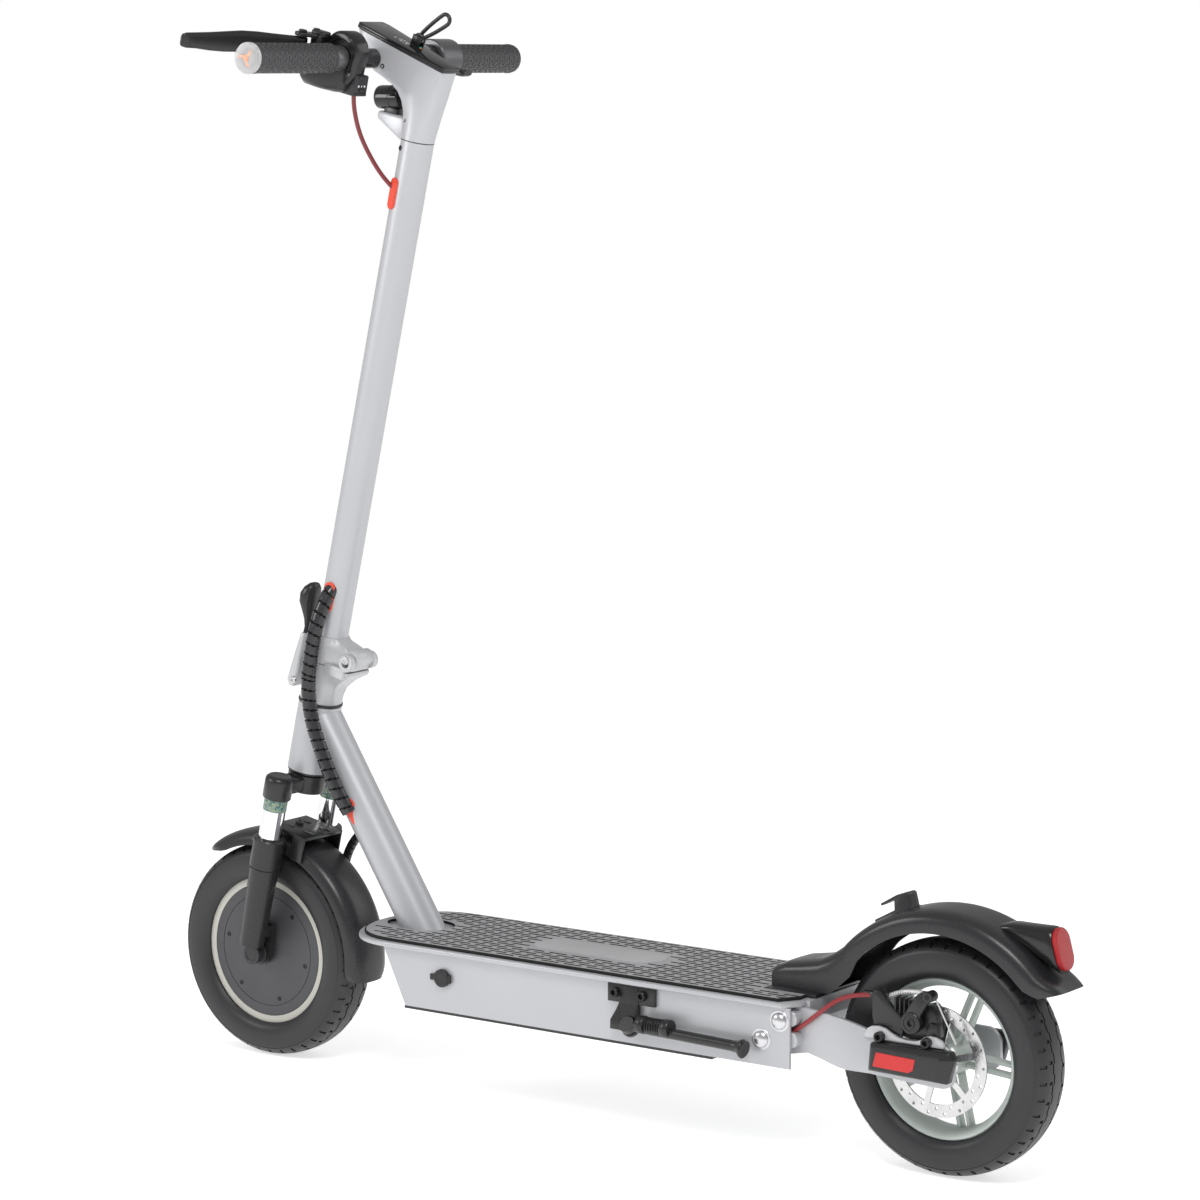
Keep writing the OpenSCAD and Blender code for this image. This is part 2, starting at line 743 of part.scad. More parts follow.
module rear_fender() {
    color([0.2, 0.2, 0.21]) at_rear() {
        fender_shell(rear_fender_r, 137, fender_half_w, 42, 139);
        difference() {
            plate_y(2 - fender_half_w, fender_half_w - 2) polygon([
                [203, 55], [131, 55], [112, 70], [100, 94], [105, 125.5], [124, 105], [143, 93],
                [188, 84], [203, 78]
            ]);
            rod_y(157, 4.5 - fender_half_w, fender_half_w - 4.5);
        }
        plate_y(-20, 20) polygon([[-118, 104], [-122, 107], [-146, 91], [-133, 83], [-108, 92]]);
        plate_y(-9, 9) polygon([
            [44, 153], [49, 168], [62, 166], [83, 154], [82, 151.5], [63, 160], [66, 146]
        ]);
    }
}

// Middle of the lens's back face
module at_lens() at_rear() translate([-126, 0, 130]) rotate([0, 14.7, 0]) children();

module tail_light() {
    color([0.75, 0.05, 0.06]) {
        difference() {
            hull() {
                at_rear() plate_y(-20, 20) polygon([[-71, 148], [-71, 140], [-104, 120], [-112, 120]]);
                at_lens() lens_block(16.5, -2, 0);
            }
            at_rear() rotate([90, 0, 0]) cylinder(r = rear_fender_r + 0.3, h = 90, center = true);
        }
        at_lens() lens_block(15, -8, -1);
    }
}

// Stadium plate of the lens, between two distances from its back face
module lens_block(r, x0, x1) hull() for (s = [-1, 1])
    translate([x0, 0, s * 8]) rotate([0, 90, 0]) cylinder(r = r, h = x1 - x0, $fn = 32);

module caliper_bracket() {
    color([0.8, 0.81, 0.82]) at_rear() difference() {
        plate_y(arm_y + arm_t, arm_y + arm_t + 4) polygon([
            [75, 26], [70, 32], [57, 35], [44, 31], [24, 24], [8, 25], [-12, 32], [-22, 28], [-22, 21], [75, 21]
        ]);
        for (p = [[54, 24.8], [-3, 26]]) translate([p[0], 0, p[1]]) rod_y(3, arm_y, arm_y + 20);
    }
}

module socket_bolts() {
    color([0.1, 0.1, 0.1]) {
        at_rear() for (p = [[54, 24.8], [-3, 26]]) translate([p[0], 0, p[1]]) {
            rod_y(3, arm_y + arm_t, arm_y + 12);
            rod_y(5.5, arm_y + 10, arm_y + 16);
        }
        for (x = [339, 375]) translate([rear_x + x, 0, 162]) {
            rod_y(3, box_half_w, box_half_w + 5);
            rod_y(5.5, box_half_w + 4, box_half_w + 10);
        }
    }
}

module caliper_body() {
    color([0.14, 0.14, 0.15]) at_rear() difference() {
        union() {
            plate_y(18, 45.8) polygon([[56, 30], [52, 44], [30, 56], [4, 62], [-8, 50], [-8, 27], [20, 22]]);
            plate_y(45.8, 51.5) polygon([[66, 34], [68, 70], [58, 72], [40, 50], [28, 34]]);
            translate([60, 0, 66]) rod_y(6, 38, 46);
        }
        rod_y(disc_r + 1.5, disc_y - 1, disc_y + 3);
        translate([caliper_pivot[0], 0, caliper_pivot[1]]) rod_y(5 + play, 40, 60);
    }
}

module caliper_arm() {
    color([0.12, 0.12, 0.13]) at_rear() difference() {
        union() {
            translate([caliper_pivot[0], 0, caliper_pivot[1]]) rod_y(5, 41, 52);
            translate([caliper_pivot[0], 0, caliper_pivot[1]]) rod_y(11.5, 52, 59);
            plate_y(52, 57) polygon([[10, 50], [-10, 76], [0, 80], [12, 72], [25, 50], [24, 40], [12, 40]]);
            translate([-3, 0, 74]) rod_y(6, 44, 57);
        }
        translate([caliper_pivot[0], 0, caliper_pivot[1]]) rod_y(3, 56, 60);
    }
}

module axle_cover() {
    color([0.1, 0.1, 0.1]) at_rear() difference() {
        plate_y(arm_y + arm_t, 68) polygon([[66, -12], [61, 18.5], [-34, 20], [-38, 12], [-30, -14]]);
        plate_y(arm_y + arm_t - 1, 65) polygon([[62, -9], [58, 14], [-31, 16], [-34, 10], [-27, -11]]);
    }
}

module axle_cover_left() axle_cover();
module axle_cover_right() mirror([0, 1, 0]) axle_cover();

module rear_axle() {
    color([0.6, 0.6, 0.62]) at_rear() {
        rod_y(6, -62, 62);
        both_sides() {
            difference() {
                rod_y(8, arm_y + arm_t, 60);
                rod_y(6, 50, 63);
            }
            difference() {
                rod_y(9, 33, arm_y);
                rod_y(6, 32, arm_y + 1);
            }
        }
    }
}

// ---- Kickstand and charging cap ----

module at_kick() translate([kick_x, kick_y, kick_z]) rotate([kick_splay, 0, 0]) children();

module kickstand_bracket() {
    color([0.14, 0.14, 0.15]) {
        difference() {
            union() {
                translate([rear_x + 324, box_half_w, 151]) cube([62, 4, 20.5]);
                hull() {
                    translate([rear_x + 346, box_half_w, 152]) cube([22, 4, 4]);
                    at_kick() rod_y(10, -9, -5, $fn = 32);
                }
            }
            at_kick() rod_y(11, -4.9, 30);
            for (x = [339, 375]) translate([rear_x + x, 0, 162]) rod_y(3, box_half_w - 1, box_half_w + 12);
        }
        at_kick() rod_y(4, -6, 5);
    }
}

module kickstand_leg() {
    color([0.13, 0.13, 0.14]) difference() {
        union() {
            at_kick() rod_y(9, -4.6, 5);
            translate([kick_x - 8, kick_y, kick_z + 0.5]) rotate([0, -91.5, 0]) cylinder(r = 6, h = kick_len - 8);
            for (x = [-14, -46]) translate([kick_x + x, kick_y, kick_z + 4]) rotate([0, -90, 0]) cylinder(r = 9.5, h = 9);
            translate([kick_x - 22, kick_y, kick_z + 6]) rotate([0, -90, 0]) cylinder(r = 6.5, h = 26);
            translate([kick_x - kick_len, kick_y, kick_z - 4]) rotate([0, -98, 0]) cylinder(r = 9, h = 4);
        }
        at_kick() rod_y(4 + play, -10, 12);
        at_kick() rod_y(12, -20, -4.6);
    }
}

module charge_cap() {
    color([0.12, 0.12, 0.12]) translate([rear_x + 616, 0, 145]) {
        rod_y(10, box_half_w + 0.4, box_half_w + 6);
        translate([4, box_half_w + 0.4, -3.5]) cube([13, 3, 7]);
        translate([-10.5, box_half_w + 2.6, -5]) cylinder(r = 2, h = 10);
    }
}

// ---- Cables ----

module front_brake_cable() {
    color([0.42, 0.1, 0.12]) swept_tube(spline(placed(front_cable_route), 4), 2.5, 8);
}

module rear_brake_cable() {
    color([0.62, 0.13, 0.14]) swept_tube(spline(placed(rear_cable_route), 4), 2.5, 8);
}

module harness_upper() {
    color([0.15, 0.15, 0.16]) swept_tube(spline(placed(loom_upper), 3), 8.5);
}

module harness_lower() {
    color([0.15, 0.15, 0.16]) swept_tube(spline(placed(loom_lower), 3), 8.5);
}

module motor_lead() {
    color([0.13, 0.13, 0.14]) swept_tube(spline(placed(lead_route), 3), 5.5);
}

head_tube();
down_tube();
deck_box();
deck_plate();
deck_mat();
bottom_cover();
battery_pack();
down_tube_grommet();
rear_fork();
dome_bolts();
rear_fender();
tail_light();
caliper_bracket();
caliper_body();
socket_bolts();
rear_brake_cable();
axle_cover_left();
axle_cover_right();
rear_axle();
kickstand_bracket();
harness_lower();
motor_lead();
rear_tyre();
rear_rim();
brake_disc();
caliper_arm();
kickstand_leg();
charge_cap();
fork_crown();
stanchions();
stem_base();
fold_pin();
harness_upper();
fork_leg_left();
fork_leg_right();
front_axle();
front_fender();
fender_bridge();
motor_stator();
front_tyre();
front_rim();
motor_cover();
fold_latch();
stem_sleeve();
stem_tube();
stem_grommets();
head_casting();
display_panel();
handlebar();
grips();
left_housing();
throttle_housing();
lamp_bracket();
headlight();
lever_perch();
front_brake_cable();
brake_lever();
throttle_paddle();
signal_slider();
loop_hook();
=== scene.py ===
import math

import bpy
from mathutils import Matrix, Vector


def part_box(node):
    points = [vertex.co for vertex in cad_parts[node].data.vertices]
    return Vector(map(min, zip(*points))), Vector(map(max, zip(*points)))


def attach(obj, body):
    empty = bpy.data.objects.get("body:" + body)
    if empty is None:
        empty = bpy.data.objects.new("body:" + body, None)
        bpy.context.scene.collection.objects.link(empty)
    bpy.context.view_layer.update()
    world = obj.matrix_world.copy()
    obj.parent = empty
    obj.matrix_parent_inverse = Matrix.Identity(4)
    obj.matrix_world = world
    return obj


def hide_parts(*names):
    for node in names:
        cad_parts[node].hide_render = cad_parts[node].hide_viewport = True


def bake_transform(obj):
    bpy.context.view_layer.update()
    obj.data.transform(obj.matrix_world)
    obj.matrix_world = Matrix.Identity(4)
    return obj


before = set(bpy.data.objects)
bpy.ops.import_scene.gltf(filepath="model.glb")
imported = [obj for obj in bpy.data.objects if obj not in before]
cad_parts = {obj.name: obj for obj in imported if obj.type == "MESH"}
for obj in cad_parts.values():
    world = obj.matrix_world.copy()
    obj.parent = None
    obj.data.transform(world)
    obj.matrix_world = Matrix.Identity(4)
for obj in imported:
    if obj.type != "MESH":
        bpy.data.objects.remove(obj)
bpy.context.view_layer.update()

# ---- Floor, light and camera ----
# A plain pale floor, a bright sky all round, one large soft light above the rider's left
# shoulder and two weaker ones opposite. The camera stands behind and to the left.
bpy.ops.object.select_all(action="DESELECT")
bpy.ops.mesh.primitive_plane_add(size=60)
floor = bpy.context.object
floor.name = "floor"
pale = bpy.data.materials.new("pale_floor")
pale.use_nodes = True


def dial(node, settings):
    """Sets sockets of a node to constants"""
    for socket, value in settings.items():
        node.inputs[socket].default_value = value


dial(pale.node_tree.nodes["Principled BSDF"], {
    "Base Color": (0.9, 0.9, 0.9, 1), "Roughness": 0.9, "Specular IOR Level": 0.1,
    "Emission Color": (1, 1, 1, 1), "Emission Strength": 0.61,
})
floor.data.materials.append(pale)

sky = bpy.data.worlds.new("sky")
sky.use_nodes = True
background = sky.node_tree.nodes["Background"]
seen = sky.node_tree.nodes.new("ShaderNodeLightPath")
strength = sky.node_tree.nodes.new("ShaderNodeMapRange")
dial(strength, {"To Min": 0.44, "To Max": 1.0})
sky.node_tree.links.new(seen.outputs["Is Camera Ray"], strength.inputs["Value"])
sky.node_tree.links.new(strength.outputs["Result"], background.inputs["Strength"])
dial(background, {"Color": (1, 1, 1, 1)})
bpy.context.scene.world = sky
bpy.context.scene.view_settings.view_transform = "Standard"


def soft_light(name, place, aim, size, watts):
    light = bpy.data.lights.new(name, "AREA")
    light.size, light.energy = size, watts
    lamp = bpy.data.objects.new(name, light)
    lamp.location = place
    lamp.rotation_euler = (Vector(aim) - Vector(place)).to_track_quat("-Z", "Y").to_euler()
    bpy.context.scene.collection.objects.link(lamp)


soft_light("key", (-1.2, 1.9, 3.0), (0, 0, 0.4), 1.1, 44)
soft_light("edge", (1.6, 1.6, 1.4), (0.1, 0, 0.5), 0.8, 13)
soft_light("back", (-1.6, -1.8, 1.8), (0, 0, 0.5), 1.5, 10)

CAMERA_PLACE = (-2.51397, 3.53247, 1.15381)
TURN, DOWN, ROLL = math.radians(35.361), math.radians(7.58), math.radians(-0.178)
ahead = Vector((math.sin(TURN) * math.cos(DOWN), -math.cos(TURN) * math.cos(DOWN), -math.sin(DOWN)))
side = Vector((-math.cos(TURN), -math.sin(TURN), 0))
over = side.cross(ahead)
across = math.cos(ROLL) * side + math.sin(ROLL) * over
upward = math.cos(ROLL) * over - math.sin(ROLL) * side
lens = bpy.data.cameras.new("camera")
lens.sensor_width, lens.lens = 36, 118.78
lens.shift_x, lens.shift_y = -0.00497, 0.00067
camera = bpy.data.objects.new("camera", lens)
camera.matrix_world = Matrix.Translation(CAMERA_PLACE) @ Matrix(
    (across, upward, -ahead)
).transposed().to_4x4()
bpy.context.scene.collection.objects.link(camera)
bpy.context.scene.camera = camera

# ---- Brake cables ----
# Two bowden cables in smooth dark red sleeves, 5 mm thick. The front one drops out of the
# lever housing into the stem; the rear one runs from the deck box to the caliper.
MM = Matrix.Scale(0.001, 4)
LEAN = math.radians(13.1)
front_axle = sum((Vector(c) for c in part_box("front_tyre")), Vector()) / 2
rear_axle = sum((Vector(c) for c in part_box("rear_tyre")), Vector()) / 2
# Millimetres from the ground under the rear axle, from either axle, and along the steering axis
datum = Matrix.Translation((rear_axle.x, 0, 0)) @ MM
at_front = Matrix.Translation(front_axle) @ MM
at_rear = Matrix.Translation(rear_axle) @ MM
column = Matrix.Translation(front_axle) @ Matrix.Rotation(-LEAN, 4, "Y") @ MM
# Turns of a piece modelled about Z, to lie about Y or along X
about_y = Matrix.Rotation(-math.pi / 2, 4, "X")
to_front = Matrix.Rotation(math.pi / 2, 4, "Y")
to_back = Matrix.Rotation(-math.pi / 2, 4, "Y")


def mottled(name, colour, rough, metal=0.0, drift=0.07, cloud=9.0, grain=1100.0, relief=0.06, spread=0.07):
    """A finish whose tone drifts slowly over the piece, with a fine grain that breaks up the gloss"""
    finish = bpy.data.materials.new(name)
    finish.use_nodes = True
    nodes, links = finish.node_tree.nodes, finish.node_tree.links
    shader = nodes["Principled BSDF"]
    dial(shader, {"Metallic": metal})
    where = nodes.new("ShaderNodeTexCoord")
    clouds = nodes.new("ShaderNodeTexNoise")
    clouds.name = "clouds"
    dial(clouds, {"Scale": cloud, "Detail": 5})
    tone = nodes.new("ShaderNodeValToRGB")
    tone.name = "tone"
    dark, light = tone.color_ramp.elements
    dark.position, light.position = 0.3, 0.7
    dark.color = [c * (1 - drift) for c in colour] + [1]
    light.color = [min(1, c * (1 + drift)) for c in colour] + [1]
    fine = nodes.new("ShaderNodeTexNoise")
    dial(fine, {"Scale": grain, "Detail": 3})
    gloss = nodes.new("ShaderNodeMapRange")
    smoothest, roughest = max(0.03, rough - spread), min(1, rough + spread)
    dial(gloss, {"From Min": 0.3, "From Max": 0.7, "To Min": smoothest, "To Max": roughest})
    bump = nodes.new("ShaderNodeBump")
    bump.name = "relief"
    dial(bump, {"Strength": relief, "Distance": 0.0005})
    for texture in (clouds, fine):
        links.new(where.outputs["Object"], texture.inputs["Vector"])
    links.new(clouds.outputs["Fac"], tone.inputs["Fac"])
    links.new(tone.outputs["Color"], shader.inputs["Base Color"])
    links.new(fine.outputs["Fac"], gloss.inputs["Value"])
    links.new(gloss.outputs["Result"], shader.inputs["Roughness"])
    links.new(fine.outputs["Fac"], bump.inputs["Height"])
    links.new(bump.outputs["Normal"], shader.inputs["Normal"])
    return finish


def deselect():
    """Object mode with nothing selected"""
    if bpy.context.object and bpy.context.object.mode != "OBJECT":
        bpy.ops.object.mode_set(mode="OBJECT")
    bpy.ops.object.select_all(action="DESELECT")


def only(piece):
    """Selects one piece and makes it active"""
    deselect()
    piece.select_set(True)
    bpy.context.view_layer.objects.active = piece


def turn_and_shift(piece, place):
    """Moves a piece by a matrix, and leaves its object at the origin"""
    only(piece)
    piece.matrix_world = place @ piece.matrix_world
    bpy.ops.object.transform_apply(location=True, rotation=True, scale=True)
    return piece


def mount(piece, place, body, slot, finish, *replaced, smooth=35):
    """Puts a piece that was modelled in millimetres at its place, with its finish and body; the slot is not
    used
    """
    turn_and_shift(piece, place)
    bpy.ops.object.shade_smooth_by_angle(angle=math.radians(smooth))
    piece.data.materials.clear()
    piece.data.materials.append(finish)
    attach(piece, body)
    if replaced:
        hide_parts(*replaced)
    return piece


def route_line(name, points, steps):
    """Smooth curve along a route of points"""
    line = bpy.data.curves.new(name, "CURVE")
    line.dimensions = "3D"
    run = line.splines.new("NURBS")
    run.points.add(len(points) - 1)
    for knot, point in zip(run.points, points):
        knot.co = (*point, 1)
    run.order_u, run.use_endpoint_u, run.resolution_u = 4, True, steps
    path = bpy.data.objects.new(name, line)
    bpy.context.scene.collection.objects.link(path)
    return path


def hose(name, points, thick, sides=6):
    """Round flexible tube along a route of points"""
    deselect()
    piece = route_line(name, points, 8)
    line = piece.data
    line.bevel_depth, line.bevel_resolution, line.use_fill_caps = thick / 2, sides, True
    only(piece)
    bpy.ops.object.convert(target="MESH")
    return bpy.context.object


red_sleeve = mottled("red_sleeve", (0.2, 0.025, 0.03), 0.38, grain=500)
front_route = [
    (740, 68, 1131), (742, 66, 1122), (745, 60, 1110), (748, 51, 1094), (748, 42, 1078), (745, 33, 1062),
    (739, 26, 1046), (732, 20, 1034), (726, 15, 1026),
]
mount(hose("front_cable_sleeve", front_route, 5), datum, "stem", "cable_red", red_sleeve, "front_brake_cable")
rear_route = [
    (172, 67.5, 141), (163, 67.5, 142), (154, 67.5, 146), (144, 67.5, 153), (134, 67, 161), (123, 66.8, 170),
    (109, 58, 183), (95, 51, 189), (80, 45, 191), (67, 42, 191),
]
# The rear sleeve has the front sleeve's red painted lighter: painted light on the rear cable.
bright_sleeve = mottled("red_sleeve_painted_lighter", (0.3, 0.03, 0.035), 0.35, grain=500)
mount(
    hose("rear_cable_sleeve", rear_route, 5), datum, "frame", "cable_red", bright_sleeve,
    "rear_brake_cable",
)

# ---- Wrapped looms and motor lead ----
# The wires between stem and down tube run in black spiral wrap, 17 mm thick, which bends at
# the fold joint and at the steering. A thinner wrapped lead goes down to the hub motor.
moulded_black = mottled("moulded_black", (0.02, 0.02, 0.022), 0.3, grain=1500, relief=0.1)
wrap_black = mottled("wrap_black", (0.03, 0.03, 0.033), 0.2, grain=700, relief=0.05)
# Near-black for the floor of the wrap's gap: painted shade in the groove.
wrap_gap_shade = mottled("wrap_gap_shade", (0.002, 0.002, 0.002), 0.9)


def turned(name, profile, sides=96, closed=False):
    """Solid of revolution about Z: a circle extruded ring by ring through (radius, height) pairs"""
    deselect()
    radius, height = profile[0]
    bpy.ops.mesh.primitive_circle_add(vertices=sides, radius=radius, location=(0, 0, height))
    piece = bpy.context.object
    piece.name = name
    bpy.ops.object.mode_set(mode="EDIT")
    bpy.ops.mesh.select_all(action="SELECT")
    steps = profile[1:] + (profile[:1] if closed else [])
    for r, z in steps:
        bpy.ops.mesh.extrude_edges_move(TRANSFORM_OT_translate={"value": (0, 0, z - height)})
        bpy.ops.transform.resize(value=(r / radius, r / radius, 1), center_override=(0, 0, z))
        radius, height = r, z
    if closed:
        bpy.ops.mesh.select_all(action="SELECT")
        bpy.ops.mesh.remove_doubles(threshold=0.0005)
    else:
        bpy.ops.mesh.edge_face_add()
        bpy.ops.mesh.select_all(action="DESELECT")
        bpy.ops.mesh.select_mode(type="EDGE")
        bpy.ops.mesh.select_non_manifold()
        bpy.ops.mesh.edge_face_add()
    bpy.ops.mesh.select_all(action="SELECT")
    bpy.ops.mesh.normals_make_consistent(inside=False)
    bpy.ops.object.mode_set(mode="OBJECT")
    bpy.ops.object.transform_apply(location=True, rotation=True, scale=True)
    return piece


def pick(piece, test):
    """Edit mode with only the faces selected whose middle and normal pass the test"""
    only(piece)
    for part in (piece.data.vertices, piece.data.edges):
        part.foreach_set("select", [False] * len(part))
    for face in piece.data.polygons:
        face.select = bool(test(face.center, face.normal))
    bpy.ops.object.mode_set(mode="EDIT")
    bpy.ops.mesh.select_mode(type="FACE")


def sink(piece, test, depth):
    """Presses the picked faces in along their normals, which leaves grooves with upright walls"""
    pick(piece, test)
    bpy.ops.mesh.extrude_region_shrink_fatten(TRANSFORM_OT_shrink_fatten={"value": -depth})
    bpy.ops.object.mode_set(mode="OBJECT")


def spiral_wrap(name, points, thick, pitch, finish, gap_shade_finish):
    """Straight tube with a helical gap, bent along a route; the gap's floor takes the darker finish as
    painted shade in the groove
    """
    length = sum((Vector(b) - Vector(a)).length for a, b in zip(points, points[1:]))
    rows = int(length / 1.5)
    piece = turned(name, [(thick / 2, length * i / rows) for i in range(rows + 1)], sides=28)
    sink(
        piece, lambda c, n: abs(n.z) < 0.5 and (c.z / pitch + math.atan2(c.y, c.x) / math.tau) % 1 < 0.2,
        thick * 0.1,
    )
    piece.data.materials.append(finish)
    piece.data.materials.append(gap_shade_finish)
    # The sunk faces of the gap take the darker finish: painted shade in the groove.
    for face in piece.data.polygons:
        face.material_index = int(
            abs(face.normal.z) < 0.7 and math.hypot(face.center.x, face.center.y) < thick * 0.47
        )
    path = route_line(name + "_line", points, 12)
    only(piece)
    bend = piece.modifiers.new("bend", "CURVE")
    bend.object, bend.deform_axis = path, "POS_Z"
    bpy.ops.object.modifier_apply(modifier="bend")
    bpy.data.objects.remove(path)
    return piece


def flexing(piece, place, body_a, body_b, start, end, slot, *replaced):
    """Puts a cable at its place with smooth shading, and hides the parts it replaces"""
    turn_and_shift(piece, place)
    bpy.ops.object.shade_smooth_by_angle(angle=math.radians(40))
    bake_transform(piece)
    if replaced:
        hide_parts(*replaced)


upper_route = [
    (822, 12, 566), (824, 18, 563), (826, 25, 551), (829, 31, 537), (832, 35, 520), (836, 37, 500),
    (839, 38, 478), (841, 38, 463.5),
]
lower_route = [
    (841, 38, 463), (842, 38, 446), (840, 38, 425), (834, 38, 402), (824, 37, 377), (813, 35, 350),
    (803, 32, 327), (794, 25, 308),
]
lead_route = [
    (797, -21, 287), (810, -30, 279), (828, -38, 269), (845, -44, 255), (856, -46, 237), (862, -47, 217),
    (868, -47, 195), (877, -47, 172), (888, -47, 154), (898, -46, 144),
]
for name, route, bent, thick, pitch, body_a, body_b, node in (
    ("upper_loom", upper_route, upper_route, 17, 12, "stem", "fork", "harness_upper"),
    ("lower_loom", lower_route, lower_route, 17, 12, "fork", "frame", "harness_lower"),
    ("motor_lead_wrap", lead_route, lead_route[:6], 11, 9, "frame", "fork", "motor_lead"),
):
    loom = spiral_wrap(name, route, thick, pitch, wrap_black, wrap_gap_shade)
    flexing(loom, datum, body_a, body_b, bent[0], bent[-1], "black_plastic", node)

# ---- Tyres ----
# Air-filled 10 inch tyres of black rubber, with a smooth side wall, a zigzag groove each side
# of the crown and short cross cuts on the shoulders.
tyre_rubber = mottled("tyre_rubber", (0.022, 0.022, 0.024), 0.42, grain=1800, relief=0.12, drift=0.12)
TYRE_BEND = 8 / 3


def crown_radius(y):
    return 104 + 23 * (1 - (abs(y) / 30) ** TYRE_BEND) ** (1 / TYRE_BEND)


def wall_half_width(r):
    return 30 * (1 - ((104 - r) / 23) ** TYRE_BEND) ** (1 / TYRE_BEND)


rows = [29.6, 28.6, 27.2, 25.5, 23.5, 21, 18.5, 15.5, 13, 10.5, 8.5, 6.5, 3.5, 0]
rows = rows + [-y for y in rows[-2::-1]]
walls = [101, 97, 93.5, 90.5]
tyre_ring = (
    [(87.2, 23.2)] + [(r, wall_half_width(r)) for r in reversed(walls)] + [(104, 30)]
    + [(crown_radius(y), y) for y in rows]
    + [(104, -30)] + [(r, -wall_half_width(r)) for r in walls] + [(87.2, -23.2)]
)
TYRE_SIDES = 216


def tread_cut(middle, normal):
    """True on the faces that the tread's cuts and zigzag grooves take"""
    y, step = abs(middle.z), int((math.atan2(middle.y, middle.x) / math.tau) % 1 * TYRE_SIDES)
    if math.hypot(middle.x, middle.y) < 110:
        return False
    hand = 0 if middle.z > 0 else 2
    if 18.5 < y < 25.5:
        return (step + hand) % 5 == 0
    if 8.5 < y < 10.5:
        return (step // 3) % 2 == 0
    if 6.5 < y < 8.5:
        return (step // 3) % 2 == 1
    if 10.5 < y < 15.5:
        return (step + hand) % 6 == 3
    return False


for wheel, place, body in (("front", at_front, "front_wheel"), ("rear", at_rear, "rear_wheel")):
    tyre = turned(wheel + "_tyre_rubber", tyre_ring, TYRE_SIDES, closed=True)
    sink(tyre, tread_cut, 1.5)
    sink(tyre, lambda c, n: 27.2 < abs(c.z) < 28.6 and math.hypot(c.x, c.y) > 106, 0.5)
    mount(tyre, place @ about_y, body, "tyre_rubber", tyre_rubber, wheel + "_tyre")

# ---- Front wheel ----
# A hub motor: a cast shell with a bare cream ring showing at the rim, closed on the left by a
# dark grey lid with a turned groove and six small socket screws.
cream_enamel = mottled("cream_enamel", (0.52, 0.51, 0.46), 0.4)
lid_grey = mottled("lid_grey", (0.075, 0.075, 0.08), 0.45, metal=0.3, grain=900)
black_steel = mottled("black_steel", (0.02, 0.02, 0.021), 0.35, metal=0.4, grain=900)


def repaint(finish, *nodes):
    """Gives nodes of the frame a finish of this file"""
    for node in nodes:
        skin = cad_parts[node]
        skin.data.materials.clear()
        skin.data.materials.append(finish)


repaint(cream_enamel, "front_rim")
lid = turned(
    "motor_lid",
    [
        (7.3, 9), (18, 9), (18, 17), (78.7, 17), (78.7, 19.6), (78.2, 20.2), (67.2, 20.6), (66.9, 19.9),
        (66.3, 19.9), (66, 20.6), (30, 21), (26, 22), (14, 22), (13, 21), (7.3, 21),
    ],
)
mount(lid, at_front @ about_y, "front_wheel", "motor_shell", lid_grey, "motor_cover")
far_face = turned(
    "motor_far_face",
    [
        (78.7, -19.8), (78.7, -20.4), (78.2, -20.7), (67.2, -20.9), (66.9, -20.3), (66.3, -20.3),
        (66, -20.9), (30, -21), (26, -22), (14, -22), (13, -21), (8, -21), (8, -19.8),
    ],
    closed=True,
)
mount(far_face, at_front @ about_y, "front_wheel", "motor_shell", lid_grey)


def socket_screw(name, place, body, slot, finish, radius=3, height=1.2, socket=1.5, dome=0.4):
    """Round head with a hexagon socket, standing on the plane z = 0 of its place"""
    head = turned(name, [
        (radius, -0.6), (radius, height - dome), (radius - dome, height), (socket + 0.3, height),
        (socket, height - 0.15), (socket * 0.96, height * 0.35),
    ], sides=24)
    return mount(head, place, body, slot, finish)


for k in range(6):
    angle = math.radians(12 + 60 * k)
    spot = Matrix.Translation((59.5 * math.cos(angle), 20.7, 59.5 * math.sin(angle)))
    socket_screw(
        f"lid_screw_{k}", at_front @ spot @ about_y, "front_wheel", "steel", black_steel, 2.6, 0.7, 1.2,
        0.2,
    )

# ---- Rear wheel ----
# A cast alloy wheel in grey-green paint, with five pairs of spokes, a deep rolled lip and a
# hub that carries the drilled steel brake disc on six screws.
grey_green = mottled("grey_green_paint", (0.5, 0.55, 0.52), 0.36, drift=0.04)
drilled_steel = mottled("drilled_steel", (0.62, 0.62, 0.62), 0.24, metal=1.0, cloud=60, grain=600)


def soften(piece, width, segments=2, angle=40):
    """Rounds every edge sharper than the angle"""
    only(piece)
    edge = piece.modifiers.new("edge", "BEVEL")
    edge.width, edge.segments, edge.limit_method = width, segments, "ANGLE"
    edge.angle_limit = math.radians(angle)
    edge.use_clamp_overlap = True
    bpy.ops.object.modifier_apply(modifier="edge")
    return piece


def block(name, low, high):
    """Box from its lowest to its highest corner"""
    deselect()
    middle = [(a + b) / 2 for a, b in zip(low, high)]
    bpy.ops.mesh.primitive_cube_add(size=1, location=middle)
    piece = bpy.context.object
    piece.name = name
    bpy.ops.object.mode_set(mode="EDIT")
    bpy.ops.mesh.select_all(action="SELECT")
    bpy.ops.transform.resize(value=[b - a for a, b in zip(low, high)], center_override=middle)
    bpy.ops.object.mode_set(mode="OBJECT")
    bpy.ops.object.transform_apply(location=True, rotation=True, scale=True)
    return piece


def joined(name, pieces):
    """One piece made of several, which are used up"""
    deselect()
    for piece in pieces:
        piece.select_set(True)
    bpy.context.view_layer.objects.active = pieces[0]
    bpy.ops.object.join()
    pieces[0].name = name
    return pieces[0]


def turn_about(piece, degrees, axis="Z"):
    return turn_and_shift(piece, Matrix.Rotation(math.radians(degrees), 4, axis))


def sleeve(inner, outer, low, high, chamfer):
    """Profile of a ring whose outer edges are chamfered"""
    shoulder = outer - chamfer
    return [
        (inner, low), (shoulder, low), (outer, low + chamfer), (outer, high - chamfer), (shoulder, high),
        (inner, high),
    ]


